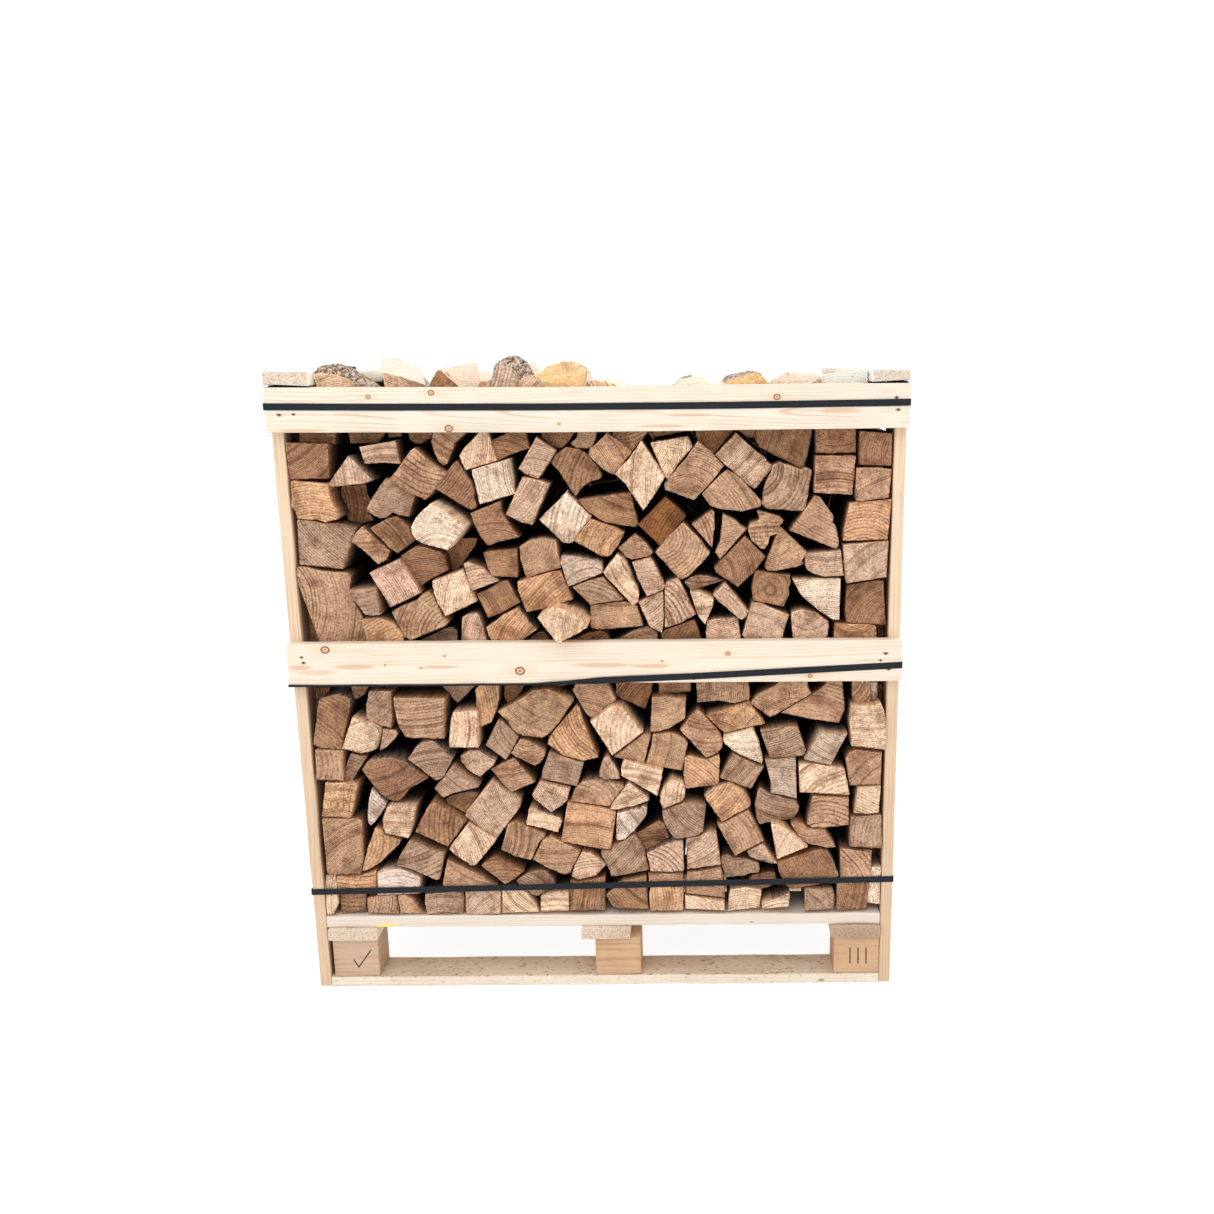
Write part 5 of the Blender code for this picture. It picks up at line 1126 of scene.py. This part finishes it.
bottomLook = {
    "pale": (232, 219, 200), "ringTint": (214, 184, 156), "streakTint": (208, 172, 138),
    "ring": 0.0055, "strength": 0.6, "streaks": 0.45, "grime": 0.3, "darkerTop": (196, 168, 142),
    "blots": placedOn(postFace, (821.5, 980, 8, 3.5)), "blotTint": (120, 160, 70), "blotShare": 0.9,
    "stains": placedOn(postFace, (750, 979, 1.8)),
}
blockLook = {
    "pale": (206, 168, 132), "ringTint": (180, 136, 98), "streakTint": (166, 122, 86),
    "ring": 0.0034, "strength": 0.7, "streaks": 0.6, "grime": 0.4, "patchScale": 16.0, "roughness": 0.8,
    "endTint": (0.95, 0.9, 0.85),
}
rightBlockLook = blockLook | {
    "strokes": onPlane([((850, 948), (850, 963)), ((858, 948), (858, 963)), ((866, 948), (866, 963))], postFace),
    "strokeHalfWidth": 0.0016, "strokeTint": (66, 34, 22), "strokeShare": 0.85,
}
leftBlockLook = blockLook | {
    "pale": (200, 171, 146),
    "strokes": onPlane([((354, 960), (359, 967)), ((359, 967), (371, 950))], postFace),
    "strokeHalfWidth": 0.0014, "strokeTint": (26, 22, 22), "strokeShare": 0.92,
}
stringerLook = {
    "pale": (228, 214, 197), "ringTint": (200, 168, 140), "streakTint": (186, 152, 124),
    "ring": 0.0030, "strength": 0.75, "streaks": 0.5, "grime": 0.4, "endTint": (0.98, 0.93, 0.88),
}
darkStringerLook = stringerLook | {
    "pale": (196, 172, 150), "ringTint": (150, 124, 104), "streakTint": (128, 106, 92), "grime": 0.6,
}
capLook = {
    "pale": (251, 246, 236), "ringTint": (236, 218, 196), "streakTint": (228, 208, 184),
    "ring": 0.0044, "strength": 0.8, "streaks": 0.5, "grime": 0.1, "endTint": (0.765, 0.70, 0.63), "slit": True,
}

# A node takes the first finish whose key is in its name
finishes = {
    "front_top_rail": sawnFinish("top_rail_pine", "rail_wood", topRailLook),
    "front_middle_rail": sawnFinish("middle_rail_pine", "rail_wood", middleRailLook),
    "rail": sawnFinish("plain_rail_pine", "rail_wood", railLook),
    "post": sawnFinish("post_pine", "post_wood", postLook),
    "deck_board": sawnFinish("deck_pine", "board_wood", deckLook),
    "bottom_board": sawnFinish("bottom_board_pine", "board_wood", bottomLook),
    "front_right_block": sawnFinish("marked_block", "block_wood", rightBlockLook),
    "front_left_block": sawnFinish("stroked_block", "block_wood", leftBlockLook),
    "block": sawnFinish("plain_block", "block_wood", blockLook),
    "right_stringer": sawnFinish("dark_stringer", "block_wood", darkStringerLook),
    "stringer": sawnFinish("stringer_pine", "block_wood", stringerLook),
    "cap_board": sawnFinish("cap_pine", "rail_wood", capLook),
}
for number, node in enumerate(sorted(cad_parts)):
    key = next((key for key in finishes if key in node), None)
    if key:
        sawnBoard(node, finishes[key], 100 + number)
print("boards sawn")

firewood = firewoodFinish()
allLogs = readLogs()
for name, letters, facing, seed in (
    ("front_upper", "hnu", 1, 1), ("front_lower", "slm", 1, 4), ("middle", "knulm", 1, 2), ("back", "jnulm", -1, 3)
):
    row = name.split("_")[0]
    near = logShape["rowFronts"]["middle" if row == "middle" else "front"]
    logRow(name, [log for log in allLogs if log["name"][0] in letters], near, facing, firewood, row + "_logs", seed)
print("logs stacked")

strapLook = {
    "colour": (0.006, 0.008, 0.013),
    "scuffed": (0.018, 0.021, 0.029),
    "roughness": 0.5,
    "emboss": 1800.0,
}


def strapFinish():
    # Flat plastic strapping with a fine diamond emboss
    band = Finish("slate_strap", "strap_plastic")
    x, y, z = band.split(band.place())
    rise = band.math("SINE", (x + y + z) * strapLook["emboss"])
    fall = band.math("SINE", (x + y - z) * strapLook["emboss"])
    scuff = band.noise(band.stretch((x, y, z), 14.0, 14.0, 260.0), detail=3)
    colour = band.mix(band.step(scuff, 0.5, 0.85) * 0.5, strapLook["colour"], strapLook["scuffed"])
    rough = strapLook["roughness"] + scuff * 0.15
    band.dress(Specular_IOR_Level=0.3, Base_Color=colour, Roughness=rough, Normal=band.bump(rise * fall, 0.0003, 0.5))
    return band


strapping = strapFinish()
for node in ("top_strap", "bottom_strap"):
    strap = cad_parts[node]
    strap.data.materials.clear()
    strap.data.materials.append(strapping.material)

# The middle strap lies on the rail's face at the right and has slipped over the rail's lower edge at the left,
# where it is folded under the rail. share is the part of its width that is still on the face.
slipLook = {
    "width": 0.012,
    "thickness": 0.0008,
    "clearance": 0.0004,
    "railBottom": 0.624,
    "x": (-0.5604, -0.300, -0.115, -0.060, 0.010, 0.193, 0.5604),
    "rise": (0.0012, 0.0008, 0.0012, 0.0050, 0.0120, 0.0190, 0.0370),
    "share": (0.27, 0.22, 0.24, 0.45, 1.0, 1.0, 1.0),
    "across": 9,
    "stations": 90,
}


def slippedStrap(finish):
    # Across the band, the distance from its upper edge runs down the rail's face and then, past the fold, back
    # under the rail. Along it, the front course, the far side and the mirrored back course make one closed loop.
    width, clear = slipLook["width"], slipLook["clearance"]
    x = np.linspace(slipLook["x"][0], slipLook["x"][-1], slipLook["stations"])[:, None]
    rise = np.interp(x, slipLook["x"], slipLook["rise"])
    onFace = np.interp(x, slipLook["x"], slipLook["share"]) * width
    across = np.linspace(0, width, slipLook["across"])
    halfY = -railFace + clear
    courses = []
    for lift in (0.0, slipLook["thickness"]):
        down = np.minimum(across, onFace + lift * (onFace < width))
        back = np.maximum(across - onFace, 0)
        z = slipLook["railBottom"] + rise - down - (back > 0) * clear
        course = np.stack([np.broadcast_to(x * (1 + lift / x[-1]), z.shape), back - (halfY + lift), z], -1)
        ends = np.broadcast_to(np.array([0, -0.9 * halfY, 0]), (2, len(across), 3)).copy()
        ends[..., 0] = [[-x[-1, 0] - lift], [x[-1, 0] + lift]]
        ends[..., 2] = z[[0, -1], :1] - across
        course = np.concatenate([ends[:1], course, ends[1:]])
        courses.append(np.concatenate([course, course[::-1] * (1, -1, 1)]))
    loop = np.concatenate([courses[0], courses[1][:, ::-1]], 1)
    here = np.arange(loop[..., 0].size).reshape(loop.shape[:2])
    nextRow = np.roll(here, -1, 0)
    quads = np.stack([here, np.roll(here, -1, 1), np.roll(nextRow, -1, 1), nextRow], -1).reshape(-1, 4)
    pieceFromArrays("middle_strap_band", loop.reshape(-1, 3), quads.tolist(), finish, "middle_strap", 30.0)


slippedStrap(strapping)
print("straps finished")

nailLook = {"radius": 0.0021, "rise": 0.0003, "around": 12}


def nails(finish):
    # Each head is a shallow dome: rings that shrink towards its centre as they rise, on a short shank
    around, radius = nailLook["around"], nailLook["radius"]
    turn = np.linspace(0, 2 * np.pi, around, endpoint=False)
    places = [place for places in railNails.values() for place in placedOn(railFace, *places)]
    levels = ((0.4, -0.0030), (0.4, -0.0002), (1.0, 0.0), (0.96, 0.6), (0.6, 1.0))
    rings = []
    for share, rise in levels:
        out = rise * nailLook["rise"] if rise > 0 else rise
        reach = share * radius
        rings.append(np.stack([reach * np.cos(turn), np.full(around, -out), reach * np.sin(turn)], 1))
    here = np.arange(around)
    after = (here + 1) % around
    quads = np.concatenate([
        np.stack([here, here + around, after + around, after], 1) + k * around for k in range(len(levels) - 1)
    ])
    ends = np.stack([here, here[::-1] + (len(levels) - 1) * around])
    points, faces = [], []
    for x, z, _ in places:
        faces += (quads + len(points)).tolist() + (ends + len(points)).tolist()
        points += (np.concatenate(rings) + (x, railFace, z)).tolist()
    pieceFromArrays("nail_heads", points, faces, finish, None)


rust = Finish("rusty_steel", "strap_plastic")
rustPatch = rust.noise(rust.place(), detail=3, scale=900.0)
rust.dress(
    Base_Color=rust.mix(rustPatch, (0.035, 0.020, 0.014), (0.13, 0.075, 0.05)),
    Roughness=0.7,
    Normal=rust.bump(rustPatch, 0.0002, 0.5),
)
nails(rust)
print("nails driven")

studio = {
    "floor": {"colour": (0.2, 0.2, 0.2), "glow": 0.86, "reach": 30.0},
    "world": 1.03,
    "lamps": {
        "key": {"energy": 34.0, "size": 2.4, "place": (-0.6, -2.6, 3.4), "aim": (0.0, 0.0, 0.6)},
        "back": {"energy": 45.0, "size": 2.0, "place": (1.8, 1.9, 3.0), "aim": (-0.2, 0.0, 1.1)},
    },
}


def studioFloor():
    look = studio["floor"]
    mesh = bpy.data.meshes.new("floor")
    corners = [(x * look["reach"], y * look["reach"], 0) for x, y in ((-1, -1), (1, -1), (1, 1), (-1, 1))]
    mesh.from_pydata(corners, [], [(0, 1, 2, 3)])
    paper = Finish("pale_floor", None)
    paper.dress(
        Base_Color=look["colour"], Roughness=0.9, Emission_Color=(1, 1, 1), Emission_Strength=look["glow"]
    )
    mesh.materials.append(paper.material)
    floor = bpy.data.objects.new("floor", mesh)
    bpy.context.scene.collection.objects.link(floor)


def studioLight():
    world = bpy.data.worlds.new("studio")
    world.use_nodes = True
    background = world.node_tree.nodes["Background"]
    background.inputs["Color"].default_value = (1.0, 1.0, 1.0, 1.0)
    background.inputs["Strength"].default_value = studio["world"]
    bpy.context.scene.world = world
    for name, values in studio["lamps"].items():
        light = bpy.data.lights.new(name, "AREA")
        light.energy = values["energy"]
        light.size = values["size"]
        lamp = bpy.data.objects.new(name, light)
        lamp.location = values["place"]
        aim = Vector(values["aim"]) - Vector(values["place"])
        lamp.rotation_euler = aim.to_track_quat("-Z", "Y").to_euler()
        bpy.context.scene.collection.objects.link(lamp)


def placeCamera():
    # The photograph's view: level right and up turned by the roll, and looking down by the pitch
    pitch, roll = view["pitch"], view["roll"]
    forward = Vector((0, math.cos(pitch), -math.sin(pitch)))
    levelUp = Vector((0, math.sin(pitch), math.cos(pitch)))
    levelRight = Vector((1, 0, 0))
    right = math.cos(roll) * levelRight + math.sin(roll) * levelUp
    up = math.cos(roll) * levelUp - math.sin(roll) * levelRight
    lens = bpy.data.cameras.new("camera")
    lens.sensor_width = view["sensorMm"]
    lens.lens = view["sensorMm"] * view["focalPx"] / view["framePx"]
    lens.shift_x = (view["framePx"] / 2 - view["centrePx"][0]) / view["framePx"]
    lens.shift_y = (view["centrePx"][1] - view["framePx"] / 2) / view["framePx"]
    camera = bpy.data.objects.new("camera", lens)
    turn = Matrix((right, up, -forward)).transposed().to_4x4()
    camera.matrix_world = Matrix.Translation(view["eye"]) @ turn
    bpy.context.scene.collection.objects.link(camera)
    bpy.context.scene.camera = camera


studioFloor()
studioLight()
placeCamera()
bpy.context.scene.view_settings.view_transform = "Standard"
print("studio set")
